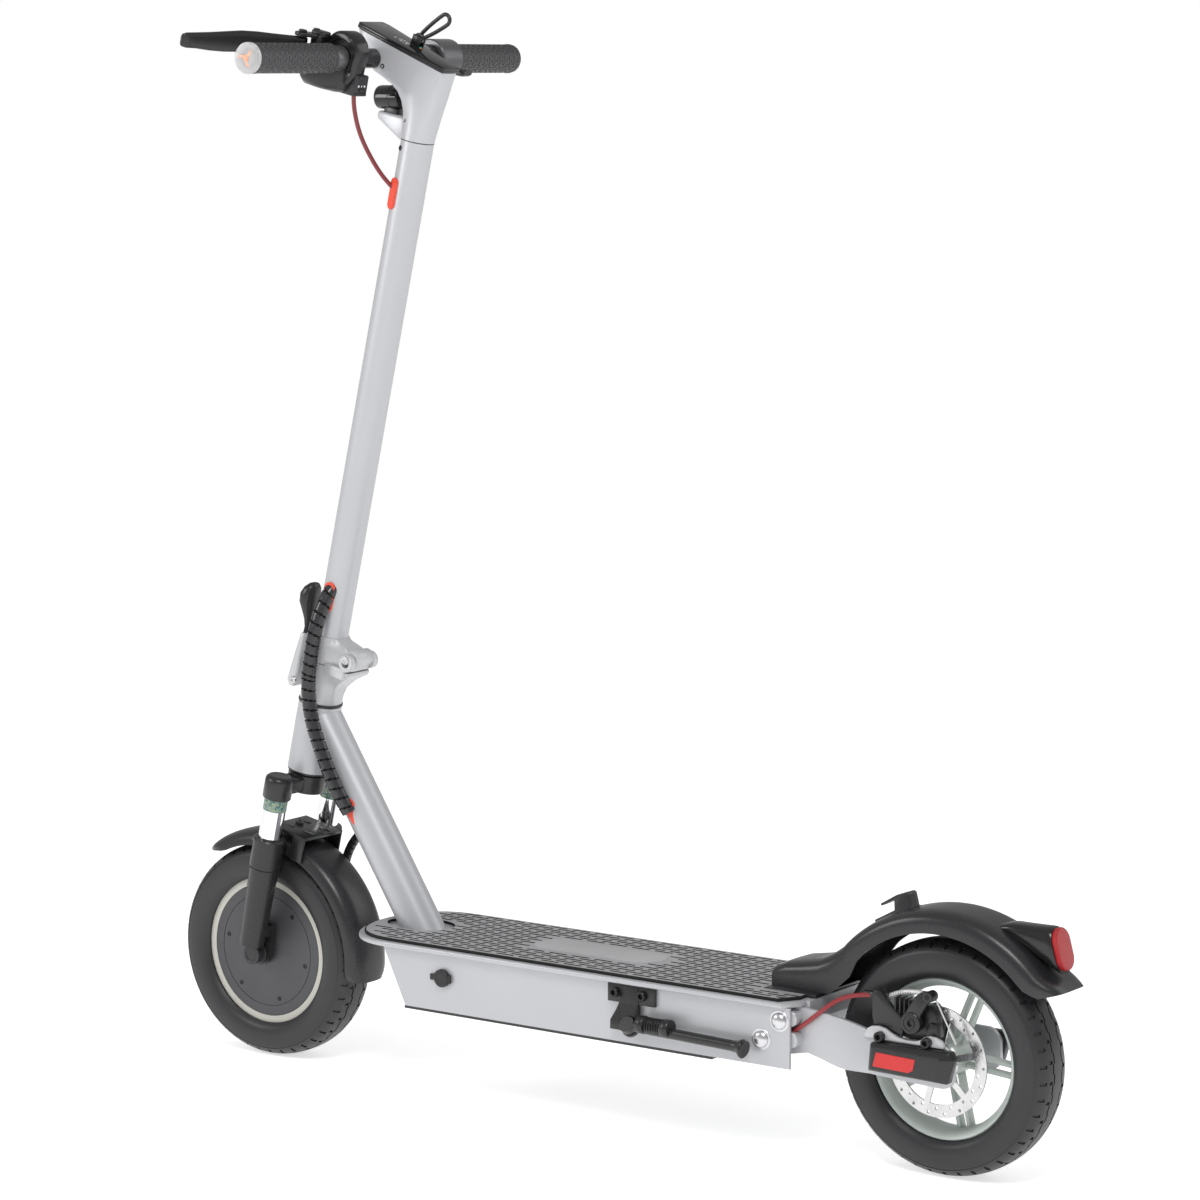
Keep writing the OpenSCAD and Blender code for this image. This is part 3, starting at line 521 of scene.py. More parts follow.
parts = [
    turned(
        "rear_rim_cast",
        [
            (86.8, -20), (86.8, 20), (85.6, 21), (84, 20.6), (81, 17.5), (78.5, 12.5), (76.5, 9),
            (76.5, -9), (78.5, -12.5), (81, -17.5), (84, -20.6), (85.6, -21),
        ],
        closed=True,
    ),
    turned("hub", [(6.1, -24), (17, -24), (19, -22), (20, -14), (20, 20), (19.6, 26.8), (6.1, 26.8)]),
]
for k in range(5):
    for hand in (-1, 1):
        spoke = block("spoke", (14, hand * 6 - 2.4, -8), (79, hand * 6 + 2.4, 4))
        soften(spoke, 1.6)
        parts.append(turn_about(spoke, -(72 * k + 41)))
mount(joined("rear_rim_cast", parts), at_rear @ about_y, "rear_wheel", "alloy", grey_green, "rear_rim")
repaint(drilled_steel, "brake_disc")
for k in range(6):
    angle = math.radians(15 + 60 * k)
    spot = Matrix.Translation((18 * math.cos(angle), 32, 18 * math.sin(angle)))
    socket_screw(
        f"disc_screw_{k}", at_rear @ spot @ about_y, "rear_wheel", "steel", drilled_steel, 3.4, 2.2, 1.6
    )

# ---- Fork ----
# Cast black crown with two domed ends on polished stanchions; forged black legs with a wiper
# lip slide on them. A thin printed band of a plain leaf-like pattern sits under each end.
satin_black = mottled("satin_black", (0.017, 0.017, 0.018), 0.3, grain=1300, relief=0.08)
chrome = mottled("chrome_plate", (0.86, 0.86, 0.87), 0.07, metal=1.0, drift=0.02, relief=0.01, spread=0.03)
repaint(chrome, "stanchions")
repaint(satin_black, "fork_leg_left", "fork_leg_right", "front_axle", "fork_crown")
LEG_Y = 52
parts = []
for hand in (-1, 1):
    end = turned(
        "crown_end",
        [
            (16.2, 198), (16.8, 199), (16.8, 219), (16, 222.5), (13.5, 224.8), (9.5, 225.6), (8.5, 225.2),
            (7, 225.2),
        ],
        sides=48,
    )
    parts.append(turn_and_shift(end, Matrix.Translation((0, hand * LEG_Y, 0))))
beam = block("crown_beam", (-14, -50, 201), (14, 50, 223.5))
pick(beam, lambda c, n: abs(n.y) > 0.9)
bpy.ops.transform.resize(value=(0.86, 1, 0.8), center_override=(0, 0, 211))
bpy.ops.object.mode_set(mode="OBJECT")
parts.append(soften(beam, 3.4, 3))
parts.append(turned("crown_boss", [(22, 201), (23, 203), (23.5, 222), (21, 224.4), (15.2, 224.4)], sides=64))
parts.append(turned("steerer", [(14.9, 224), (14.9, 320)], sides=48))
mount(joined("crown_cast", parts), column, "fork", "black_paint", satin_black, "fork_crown")

leaf_print = mottled("leaf_print", (0.2, 0.3, 0.24), 0.3, cloud=260, drift=0.0)
leaf_tone = leaf_print.node_tree.nodes["tone"].color_ramp
for place, *colour in (
    (0.42, 0.02, 0.05, 0.06), (0.47, 0.08, 0.3, 0.33), (0.53, 0.42, 0.42, 0.12), (0.58, 0.15, 0.2, 0.3),
):
    leaf_tone.elements.new(place).color = (*colour, 1)
for hand, name in ((1, "left"), (-1, "right")):
    leg = column @ Matrix.Translation((0, hand * LEG_Y, 0))
    band = turned("print_band_" + name, [(13.6, 183), (13.9, 183.3), (13.9, 197.5), (13.6, 197.9)], sides=48)
    mount(band, leg, "fork", "black_paint", leaf_print)
    lip = turned(
        "wiper_lip_" + name,
        [
            (13.8, 143), (18.6, 143), (19.4, 144), (19.4, 146.5), (18.6, 147.6), (15.2, 147.8),
            (14.4, 149.2), (13.8, 149.2),
        ],
        sides=64,
    )
    mount(lip, leg, "lowers", "black_paint", moulded_black)
    step = turned(
        "leg_step_" + name, [(17.3, 110.2), (18.7, 110.2), (18.9, 110.8), (18.7, 111.4), (17.3, 111.4)],
        sides=64,
    )
    mount(step, leg, "lowers", "black_paint", satin_black)
    nut = turned(
        "axle_cap_" + name,
        [
            (12.6, 34.4), (12.8, 35), (12.8, 38), (12.1, 38.5), (12.1, 48), (11.4, 49.3), (8.4, 49.6),
            (7.8, 49.2), (7.2, 46.5),
        ],
        sides=48,
    )
    outward = about_y if hand > 0 else about_y @ Matrix.Rotation(math.pi, 4, "X")
    mount(nut, at_front @ outward, "lowers", "black_paint", moulded_black)

# ---- Front fender ----
# One moulded black channel over the tyre with tapered, rounded ends, hung under a slotted
# steel bridge between the fork legs.


def lofted(name, rings):
    """Closed skin through rings of equally many points: a grid wrapped round, with its ends filled"""
    deselect()
    count, levels = len(rings[0]), len(rings)
    bpy.ops.mesh.primitive_grid_add(x_subdivisions=count, y_subdivisions=levels - 1, size=2)
    piece = bpy.context.object
    piece.name = name
    for level, ring in enumerate(rings):
        for k in range(count + 1):
            piece.data.vertices[level * (count + 1) + k].co = ring[k % count]
    only(piece)
    bpy.ops.object.mode_set(mode="EDIT")
    bpy.ops.mesh.select_all(action="SELECT")
    bpy.ops.mesh.remove_doubles(threshold=0.001)
    bpy.ops.mesh.fill_holes(sides=0)
    bpy.ops.mesh.select_all(action="SELECT")
    bpy.ops.mesh.normals_make_consistent(inside=False)
    bpy.ops.object.mode_set(mode="OBJECT")
    return piece


def powered(value, power):
    """Power that keeps the sign, for squared-off rounds"""
    return math.copysign(abs(value) ** power, value)


def channel(top, foot, half, wall=2.5, bow=0.7, steps=16):
    """Closed outline of an arched channel: top and foot are its crown and its lower edge in X and Z"""
    depth = math.hypot(top[0] - foot[0], top[1] - foot[1])
    outline = []
    for way, shrink in ((1, 0), (-1, wall)):
        for k in range(steps + 1):
            t = math.pi * (k if way > 0 else steps - k) / steps
            rise = powered(math.sin(t), bow) * (1 - shrink / depth)
            y = powered(math.cos(t), bow) * (half - shrink)
            outline.append((foot[0] + (top[0] - foot[0]) * rise, y, foot[1] + (top[1] - foot[1]) * rise))
    return outline


def on_arc(radius, degrees):
    return radius * math.cos(math.radians(degrees)), radius * math.sin(math.radians(degrees))


rings = []
for k in range(49):
    angle = 51 + 138 * k / 48
    tip = max(0.0, (64 - angle) / 13.2)
    tail = max(0.0, (angle - 183) / 6.4)
    slim = math.sqrt(max(0.0, 1 - tip * tip)) * (1 - 0.25 * tail * tail)
    rings.append(
        channel(on_arc(146 - 2 * tip, angle), on_arc(127.5 + 13 * tip + 1.5 * tail, angle), 4 + 28 * slim)
    )
front_fender = lofted("front_fender_shell", rings)
mount(front_fender, at_front, "lowers", "black_plastic", moulded_black, "front_fender", smooth=50)

parts = [soften(block("fender_bridge_plate", (-38, -33, 152), (17, 33, 156.5)), 1.2)]
for hand in (-1, 1):
    y0, y1 = sorted((hand * 32.7, hand * 35.4))
    parts.append(soften(block("bridge_flange", (-38, y0, 125), (-20, y1, 156.5)), 1.0))
    for u in (-27, 4):
        y = hand * 15
        parts.append(soften(block("bridge_rib", (u - 8, y - 2.5, 156.3), (u + 8, y + 2.5, 157.3)), 0.8))
parts.append(turned("bridge_screw", [(5, 156.4), (5, 159), (4.2, 159.8), (2, 159.8), (1.8, 158)], sides=24))
mount(joined("fender_bridge_plate", parts), column, "lowers", "black_plastic", satin_black, "fender_bridge")

# ---- Frame tubes and deck ----
# Welded alloy tubes and a folded deck box in satin silver paint, under a pressed deck plate
# with rolled edges. A black plastic tray closes the box from below.
silver_paint = mottled(
    "silver_paint", (0.5, 0.505, 0.525), 0.36, metal=0.25, drift=0.025, cloud=5, grain=2600, relief=0.03
)
repaint(silver_paint, "head_tube", "down_tube", "deck_box", "stem_tube")
repaint(moulded_black, "bottom_cover")
repaint(mottled("battery_wrap", (0.02, 0.08, 0.2), 0.35), "battery_pack")
repaint(mottled("copper_winding", (0.55, 0.22, 0.1), 0.35, metal=0.9, grain=700), "motor_stator")

TAIL, NOSE, NOSE_LENGTH, DECK_HALF = 146, 690, 80, 87


def deck_outline(inset, cut=14, drop=22):
    """The deck's edge from above: cut corners at the tail, a round nose"""
    tail_x = TAIL + inset
    half = DECK_HALF - inset
    points = [(tail_x + cut, half), (tail_x, half - drop), (tail_x, drop - half), (tail_x + cut, -half)]
    for k in range(25):
        t = math.radians(-90 + 7.5 * k)
        reach = (NOSE_LENGTH - inset) * powered(math.cos(t), 0.87)
        points.append((NOSE + reach, half * powered(math.sin(t), 0.87)))
    return points


def plate(name, outline, low, high):
    """Flat plate: a filled ring of corners moved to the outline, then extruded up"""
    deselect()
    bpy.ops.mesh.primitive_circle_add(vertices=len(outline), radius=1, fill_type="NGON")
    piece = bpy.context.object
    piece.name = name
    for corner, (x, y) in zip(piece.data.vertices, outline):
        corner.co = (x, y, low)
    bpy.ops.object.mode_set(mode="EDIT")
    bpy.ops.mesh.select_all(action="SELECT")
    bpy.ops.mesh.extrude_region_move(TRANSFORM_OT_translate={"value": (0, 0, high - low)})
    bpy.ops.mesh.select_all(action="SELECT")
    bpy.ops.mesh.normals_make_consistent(inside=False)
    bpy.ops.object.mode_set(mode="OBJECT")
    return piece


deck = soften(plate("deck_plate_pressed", deck_outline(0), 172, 178), 2.2, 3)
mount(deck, datum, "frame", "silver_paint", silver_paint, "deck_plate")

# ---- Deck mat ----
# Moulded rubber sheet with staggered rows of long slots and a smooth plain badge field. It is
# glued on and cut out round the foot of the down tube.
mat_rubber = mottled("mat_rubber", (0.37, 0.37, 0.38), 0.42, grain=1400, relief=0.12, drift=0.08)
# Near-black rubber for the deck's edge trim, and painted shade on the floors and walls of the slots.
edge_rubber_and_slot_shade = mottled("edge_rubber_and_slot_shade", (0.006, 0.006, 0.006), 0.8)
PITCH, SLOT, ROW, MAT_TOP = 31, 24, 7.3, 181.5
lines_x = [TAIL + PITCH * n + step for n in range(20) for step in (3.5, 12, 19, 27.5)]
lines_y = [ROW * n + step for n in range(-11, 12) for step in (-1.8, 1.8)]
deselect()
bpy.ops.mesh.primitive_grid_add(x_subdivisions=len(lines_x) - 1, y_subdivisions=len(lines_y) - 1, size=2)
mat = bpy.context.object
mat.name = "deck_mat_moulded"
for k, knot in enumerate(mat.data.vertices):
    knot.co = (lines_x[k % len(lines_x)], lines_y[k // len(lines_x)], MAT_TOP)
BADGE_X, TUBE_FOOT_X = 455, 706
slots = {}
for row in range(-11, 12):
    for n in range(row % 2, 40, 2):
        first = TAIL + PITCH / 2 * n + 3.5
        x, y = first + SLOT / 2, ROW * row
        nose = abs((x + 14 - NOSE) / (NOSE_LENGTH - 9)) ** 2.3 if x + 14 > NOSE else 0
        inside = nose + abs(y / (DECK_HALF - 11)) ** 2.3 < 1
        badge = 366 < x < 545 and abs(y) < 31 or math.hypot(max(0, abs(x - BADGE_X) - 62), y) < 31
        foot = abs(x - TUBE_FOOT_X) < 46 and abs(y) < 34
        fender = x < 222 and abs(y) < 52
        if inside and not badge and not foot and not fender and x > 160:
            slots.setdefault(row, []).append(first)


def is_slot(middle, normal):
    """True on the faces of the mat that the slots take"""
    row = round(middle.y / ROW)
    if abs(middle.y - row * ROW) > 1.0:
        return False
    return any(first < middle.x < first + SLOT for first in slots.get(row, ()))


pick(mat, is_slot)
bpy.ops.mesh.extrude_region_shrink_fatten(TRANSFORM_OT_shrink_fatten={"value": -2})
bpy.ops.object.mode_set(mode="OBJECT")
only(mat)
bpy.ops.object.mode_set(mode="EDIT")
bpy.ops.mesh.select_all(action="DESELECT")
bpy.ops.mesh.select_mode(type="EDGE")
bpy.ops.mesh.select_non_manifold()
bpy.ops.mesh.extrude_edges_move(TRANSFORM_OT_translate={"value": (0, 0, -2.2)})
bpy.ops.mesh.edge_face_add()
bpy.ops.mesh.select_all(action="SELECT")
bpy.ops.mesh.normals_make_consistent(inside=False)
bpy.ops.object.mode_set(mode="OBJECT")


def trimmed(piece, cutter, operation):
    """Cuts the piece with another, which is used up"""
    only(piece)
    cut = piece.modifiers.new("cut", "BOOLEAN")
    cut.object, cut.operation, cut.solver = cutter, operation, "EXACT"
    bpy.ops.object.modifier_apply(modifier="cut")
    bpy.data.objects.remove(cutter)
    return piece


trimmed(mat, plate("mat_edge", deck_outline(8), 170, 190), "INTERSECT")
foot_hole = []
for t in (math.tau * k / 48 for k in range(48)):
    foot_hole.append((TUBE_FOOT_X + 41 * math.cos(t) * (1.15 if math.cos(t) > 0 else 1), 30 * math.sin(t)))
trimmed(mat, plate("foot_hole", foot_hole, 170, 190), "DIFFERENCE")
trimmed(mat, block("fender_notch", (100, -47, 170), (208, 47, 190)), "DIFFERENCE")
mount(mat, datum, "frame", "rubber", mat_rubber, "deck_mat", smooth=30)
trim = soften(plate("deck_rubber_edge", deck_outline(6.2), 177.9, 181.3), 0.8)
trimmed(trim, plate("trim_inside", deck_outline(9), 170, 190), "DIFFERENCE")
mount(trim, datum, "frame", "rubber", edge_rubber_and_slot_shade)
# The faces below the mat's top, the slots' floors and walls, take the near-black rubber: painted shade in the
# slots.
mat.data.materials.append(edge_rubber_and_slot_shade)
for face in mat.data.polygons:
    face.material_index = int(face.center.z < 0.1809 and face.normal.z > -0.5)
badge_edge = []
for t in (math.tau * (k + 0.5) / 48 for k in range(48)):
    badge_edge.append((BADGE_X + math.copysign(60, math.cos(t)) + 26 * math.cos(t), 26 * math.sin(t)))
badge = soften(plate("plain_badge", badge_edge, 181, 182.1), 0.5)
mount(badge, datum, "frame", "rubber", mottled("badge_rubber", (0.44, 0.44, 0.45), 0.4, grain=900))

# ---- Bar head and display ----
# The stem widens into one smooth cast head. A black glass panel with a row of plain status
# bars and two small lamps is let into its sloping top.
DISPLAY_TILT, PANEL_LENGTH = math.radians(11.6), 127
display = column @ Matrix.Translation((-29, 0, 1062)) @ Matrix.Rotation(-DISPLAY_TILT, 4, "Y")
PANEL_EDGE = [(0, 15), (60, 20), (118, 24), (PANEL_LENGTH, 21)]


def panel_half(along):
    """Half of the panel's width at a distance from its lower end"""
    for (a, p), (b, q) in zip(PANEL_EDGE, PANEL_EDGE[1:]):
        if along <= b:
            return p + (q - p) * (along - a) / (b - a)
    return 21


front_line = [
    (19, 979), (19.3, 995), (20.5, 1010), (24.5, 1021), (31, 1029.5), (40, 1035.5), (52, 1040),
    (66, 1044.5), (80, 1057), (90, 1073), (95.5, 1087),
]
back_line = [
    (-19, 979), (-20.3, 993), (-21.3, 1004), (-22.4, 1014), (-23.4, 1023), (-24.3, 1031), (-25.2, 1038),
    (-26.1, 1045), (-27, 1051), (-28, 1057), (-28.6, 1061.6),
]
rings = []
for level, (front, back) in enumerate(zip(front_line, back_line)):
    share = level / (len(front_line) - 1)
    flat = 1 - (1 - share) ** 1.6
    ring = []
    for k in range(48):
        t = math.tau * (k + 0.5) / 48
        along = (1 - math.cos(t)) / 2
        round_half = 19 * math.sin(t)
        squared = min(1, abs(math.sin(t)) * 3.2) ** 0.6
        top_half = math.copysign(panel_half(PANEL_LENGTH * along) * squared, math.sin(t)) * 0.98
        ring.append((
            back[0] + (front[0] - back[0]) * along,
            round_half + (top_half - round_half) * flat,
            back[1] + (front[1] - back[1]) * along,
        ))
    rings.append(ring)
head = lofted("bar_head_cast", rings)
mount(head, column, "stem", "silver_paint", silver_paint, "head_casting", smooth=45)
seam = turned("head_seam", [(18.4, 977.6), (19.05, 977.9), (19.05, 978.9), (18.4, 979.2)], sides=64)
mount(seam, column, "stem", "black_plastic", moulded_black)

black_glass = mottled("black_glass", (0.008, 0.008, 0.009), 0.1, relief=0.01, spread=0.03, cloud=20)
repaint(black_glass, "display_panel")
edge_points = PANEL_EDGE + [(x, -y) for x, y in reversed(PANEL_EDGE)]
glass = soften(plate("display_glass", edge_points, 2.5, 6.2), 1.3, 3)
skirt = soften(plate("display_frame", edge_points, -0.4, 3.2), 0.9, 2)
mount(skirt, display, "stem", "gloss_black", moulded_black)
mount(glass, display, "stem", "gloss_black", black_glass, "display_panel")
ears = [soften(block("hook_ear", (60, -20 + 9.5 * n, 5.6), (72, -17.6 + 9.5 * n, 16.5)), 1.1) for n in (0, 1)]
pin = turned("hook_pin", [(1.9, -5.6), (2.6, -5.4), (2.6, 5.4), (1.9, 5.6)], sides=24)
pin.matrix_world = Matrix.Translation((66, -14, 13)) @ about_y
mount(joined("hook_ears", ears + [pin]), display, "stem", "black_paint", satin_black)
lit = mottled("white_marks", (0.8, 0.82, 0.85), 0.4)
marks = []
for x, y, long, wide in (
    (78, 0, 3.2, 1.2), (78, 4, 3.2, 1.2), (74, 0, 1.2, 3.2), (74, 6.5, 1.2, 4.2), (70, 1, 4.2, 1.2),
    (70, 7, 2.2, 1.2), (66, 4, 1.2, 8), (84, 5, 1.2, 5),
):
    marks.append(block("mark", (x - long / 2, y - wide / 2, 6.05), (x + long / 2, y + wide / 2, 6.32)))
mount(joined("status_bars", marks), display, "stem", "gloss_black", lit)
for name, x, y, colour in (
    ("teal_lamp", 56, -8, (0.05, 0.5, 0.42)), ("amber_lamp", 53, -5, (0.8, 0.3, 0.05))
):
    spot = turned(name, [(1.5, 6), (1.5, 6.35), (0.9, 6.55)], sides=20)
    spot.location.x, spot.location.y = x, y
    mount(spot, display, "stem", "gloss_black", mottled(name + "_lens", colour, 0.2))

# ---- Loop hook ----
# A pressed black steel loop that hinges between two ears on the display and drops over the
# catch of the rear fender when the scooter is folded.
HOOK_RAISE = math.radians(53 - 90)
hook = display @ Matrix.Translation((66, -14, 13)) @ Matrix.Rotation(HOOK_RAISE, 4, "Y")
arc = [(6.3 * math.cos(t), 0, 42 + 6.3 * math.sin(t)) for t in (math.pi * k / 10 for k in range(11))]
loop_line = [(3, 0, 6), (4.8, 0, 16), (6, 0, 30)] + arc + [(-6, 0, 30), (-4.8, 0, 16), (-3, 0, 6)]
loop = hose("loop_bar", loop_line, 4.6)
eye = turned("loop_eye", sleeve(2.1, 6.2, -2.4, 2.4, 0.6), sides=40, closed=True)
eye.matrix_world = about_y
mount(joined("loop_hook_steel", [loop, eye]), hook, "loop_hook", "black_paint", satin_black, "loop_hook")

# ---- Handlebar grips ----
# Rubber sleeves with a small woven relief slide on the steel bar. The left one ends in a clear
# cap over an orange turn lamp.
BAR_U, BAR_W = 65.3, 1057.7
at_bar = column @ Matrix.Translation((BAR_U, 0, BAR_W))
bar = at_bar @ about_y
WEAVE_ROW = 1.6
grip_rubber = mottled("grip_rubber", (0.05, 0.05, 0.053), 0.5, grain=1200, relief=0.1)
repaint(satin_black, "handlebar")


def weave(middle, normal):
    """True in the hollows of the grip's woven pattern"""
    if math.hypot(normal.x, normal.y) < 0.9:
        return False
    strand = int((math.atan2(middle.y, middle.x) / math.tau % 1) * 56)
    row = int(abs(middle.z) / WEAVE_ROW)
    if row % 3 == 0:
        return (strand + row) % 4 != 0
    return strand % 4 == (row // 3) % 2 * 2


for name, start, end in (("left", 101, 234), ("right", -118, -233)):
    hand = 1 if end > 0 else -1
    inner = abs(start)
    rows = range(int((abs(end) - inner - 12) / WEAVE_ROW))
    woven = [(16.6, hand * (inner + 6 + WEAVE_ROW * k)) for k in rows]
    lead_in = [(11.2, hand * inner), (16.2, hand * inner), (17, hand * (inner + 1)), (17, hand * (inner + 4))]
    tip = [(17, end - 4), (17.1, end - 1), (16.4, end), (11.3, end + 0.1)]
    if hand < 0:
        tip = [(17, -229), (17, -231), (16.2, -235.2), (13.6, -238), (9.5, -239), (2, -239)]
    grip = turned(name + "_grip_rubber", lead_in + woven + tip, sides=112)
    sink(grip, weave, 0.45)
    mount(grip, bar, "stem", "rubber", grip_rubber, *(["grips"] if hand > 0 else []), smooth=30)

clear = bpy.data.materials.new("clear_cap")
clear.use_nodes = True
glass_shader = clear.node_tree.nodes["Principled BSDF"]
dial(glass_shader, {"Base Color": (0.95, 0.95, 0.95, 1), "Transmission Weight": 0.6, "IOR": 1.2})
ripples = clear.node_tree.nodes.new("ShaderNodeTexVoronoi")
dial(ripples, {"Scale": 260})
dent = clear.node_tree.nodes.new("ShaderNodeBump")
dial(dent, {"Strength": 0.25})
clear.node_tree.links.new(ripples.outputs["Distance"], dent.inputs["Height"])
clear.node_tree.links.new(dent.outputs["Normal"], glass_shader.inputs["Normal"])
cap = turned(
    "turn_lamp_cap",
    [(11.3, 234.1), (16.4, 234.1), (17.2, 235), (17.2, 238.6), (16.2, 240.4), (13, 240.9), (3, 240.9)],
    sides=64,
)
mount(cap, bar, "stem", "gloss_black", clear)
signal_orange = mottled("signal_orange", (0.8, 0.075, 0.035), 0.35)
petal_line = [(2.5, -1.6), (6, -2.6), (9.5, -1.4), (11.4, 1.2), (9, 1.6), (6, 0.4), (3, 1.6)]
petals = []
for turn in (0, 120, 240):
    leaf = plate("petal", petal_line, 240.6, 241.4)
    petals.append(turn_about(soften(leaf, 0.4, 1), turn))
petals.append(turned("petal_boss", [(3.6, 240.6), (3.6, 241.4), (2.2, 241.9)], sides=32))
pale_orange = mottled("pale_orange", (0.85, 0.36, 0.22), 0.3)
mount(joined("turn_lamp_core", petals), bar, "stem", "orange_plastic", pale_orange)
repaint(signal_orange, "down_tube_grommet", "stem_grommets")

# ---- Left housing and switch ----
# A moulded black clamp round the bar with a round disc, a pod that takes the brake cable, and
# a small box facing the rider with three push marks and a slider behind a tab.
clamp = turned("left_clamp", [(11.2, 48), (13.2, 48), (13.6, 48.5), (13.6, 58), (11.2, 58.2)], sides=64)
mount(clamp, bar, "stem", "black_plastic", moulded_black)
grey_collar = mottled("grey_collar", (0.16, 0.16, 0.165), 0.3, metal=0.6, grain=900)
collar = turned(
    "lever_collar", [(11.2, 82), (14.1, 82), (14.5, 82.5), (14.5, 100), (14.1, 100.5), (11.2, 100.6)],
    sides=64,
)
mount(collar, bar, "stem", "black_paint", grey_collar)


def oval_outline(half_a, half_b, power_a, power_b, steps):
    """Squared oval about the origin"""
    return [
        (half_a * powered(math.cos(t), power_a), half_b * powered(math.sin(t), power_b))
        for t in (math.tau * k / steps for k in range(steps))
    ]


def oval_ring(y, middle_u, middle_w, half_u, half_w, power=0.7, steps=28):
    """Squared oval across the bar"""
    return [(middle_u + u, y, middle_w + w) for u, w in oval_outline(half_u, half_w, power, power, steps)]


dome_side = [
    (23.2 * math.cos(t), 7.5 + 23.2 * math.sin(t))
    for t in (math.radians(-20 + 220 * k / 40) for k in range(41))
]
dome_side += [(-20.5, -16), (-15, -27), (17, -27), (21, -14)]
rings = []
for y, inset in (
    (57.6, 0.12), (58.6, 0.04), (60.2, 0), (79.8, 0), (81.4, 0.03), (82.2, 0.08), (82.2, 0.3), (80.6, 0.34)
):
    rings.append([(x * (1 - inset), y, z + (2 - z) * inset) for x, z in dome_side])
disc_black = mottled("disc_black", (0.012, 0.012, 0.013), 0.2, grain=900)
mount(lofted("clamp_disc", rings), at_bar, "stem", "black_plastic", disc_black, smooth=30)
pod = lofted(
    "cable_pod",
    [
        oval_ring(60, 4, -18, 15, 19, 0.6), oval_ring(62, 4, -19, 17, 20, 0.6),
        oval_ring(82, 6, -20, 18, 18, 0.6), oval_ring(96, 12, -22.5, 15, 13.5, 0.6),
        oval_ring(108, 16, -22, 12, 11, 0.7), oval_ring(114, 18, -21, 8, 7, 0.8),
        oval_ring(116, 18, -21, 4, 3.5, 0.9),
    ],
)
mount(pod, at_bar, "stem", "black_plastic", moulded_black)
switch = soften(block("switch_box", (-22, 50.5, -38.5), (2, 74, -15)), 2, 3)
tab = soften(block("switch_tab", (-23.2, 54, -19), (-14, 68, -15.4)), 1.0)
lower_lip = soften(block("switch_lip", (-22.8, 52, -38.2), (-20, 72.5, -34.6)), 0.8)
mount(
    joined("switch_box", [switch, tab, lower_lip]), at_bar, "stem", "black_plastic", moulded_black,
    "left_housing",
)
for n, y in enumerate((57, 62, 67)):
    dot = turned(
        f"switch_mark_{n}",
        [(0.9, 0), (0.9, 0.5), (0.5, 0.6)] if n % 2 else [(1.3, 0), (1.3, 0.5), (0.9, 0.6)], sides=16,
    )
    dot.matrix_world = Matrix.Translation((-21.8, y, -27)) @ to_back
    mount(dot, at_bar, "stem", "black_plastic", lit)
slider = soften(block("signal_knob", (-24, 58.4, -32.6), (-18.3, 65.6, -30)), 0.8)
mount(slider, at_bar, "signal_slider", "black_plastic", satin_black, "signal_slider")

# ---- Brake lever ----
# A cast alloy blade in black, thick and blunt at its tip, on a pivot pin in a forked perch
# with a barrel adjuster and its lock ring.
PIVOT_X, PIVOT_Y = 98 - BAR_U, 112
# Each station: ahead of the steering axis, y, middle height, half thickness, half height
blade_line = [
    (100, 103, 12.5, 3.5, 3.6), (101, 106, 12.6, 7, 4.3), (100, 114, 12.6, 7, 4.4),
    (105, 124, 12, 4.6, 4.8), (114, 140, 9, 4.0, 7.6), (124, 157, 6, 3.8, 10.6), (133, 173, 3.6, 3.8, 12),
    (140, 192, 1.6, 3.8, 11.4), (146, 210, 0.4, 3.9, 10.2), (151, 227, 0.2, 4.0, 8.8),
    (154.5, 238, -0.4, 3.6, 8.4), (156, 243, -0.6, 2.4, 7.0), (156.6, 244.6, -0.7, 1.0, 5),
]
rings = []
for u, y, rise, half_u, half_w in blade_line:
    rings.append(oval_ring(y, u - BAR_U, rise, half_u, half_w, 0.62, 24))
blade = lofted("brake_blade", rings)
hole = turned("blade_hole", [(2.52, -5), (2.52, 30)], sides=32)
trimmed(blade, turn_and_shift(hole, Matrix.Translation((PIVOT_X, PIVOT_Y, 0))), "DIFFERENCE")
mount(blade, at_bar, "brake_lever", "black_paint", satin_black, "brake_lever", smooth=50)
eye_arc = [math.pi * k / 12 - 0.5 for k in range(13)]
perch_line = [(PIVOT_X + 8.6 * math.cos(t), PIVOT_Y + 8.6 * math.sin(t)) for t in eye_arc]
perch_line += [(20, 100), (20, 78), (32, 78), (36, 94)]
fork_low = soften(plate("perch_low", perch_line, 2.4, 6.2), 0.9)
fork_high = soften(plate("perch_high", perch_line, 17.9, 22), 0.9)
perch_root = soften(block("perch_root", (17.4, 76.5, 2), (32, 99, 22)), 3, 3)
screw = turned(
    "pivot_screw",
    [(2.4, 2.6), (2.4, 22), (4.4, 22), (4.6, 22.4), (4.6, 24.4), (4, 25), (2, 25), (1.8, 23.5)], sides=32,
)
screw.location = (PIVOT_X, PIVOT_Y, 0)
ferrule = turned(
    "adjuster_barrel",
    [
        (2.6, 56), (3.6, 56.4), (3.9, 60), (3.9, 62), (5.4, 62.4), (5.8, 63), (5.8, 68), (5.4, 68.6),
        (4.2, 69), (4.2, 77), (3, 77.6),
    ],
    sides=20,
)
adjuster = Matrix.Translation((27, 0, 12)) @ about_y
ferrule.matrix_world = adjuster
lock = turned("adjuster_ring", [(4.3, 70), (6.6, 70.4), (7, 71), (7, 74), (6.6, 74.6), (4.3, 75)], sides=14)
lock.matrix_world = adjuster
reach = turned("reach_screw", [(2, 6), (2, 24), (3.6, 24), (3.6, 27), (1.6, 27)], sides=20)
reach.location = (30, 92, 0)
saddle = soften(block("perch_saddle", (14, 84, 18), (33, 98, 26)), 2.4, 3)
perch = joined("lever_perch_cast", [perch_root, fork_low, fork_high, screw, ferrule, lock, reach, saddle])
mount(perch, at_bar, "stem", "black_paint", satin_black, "lever_perch")

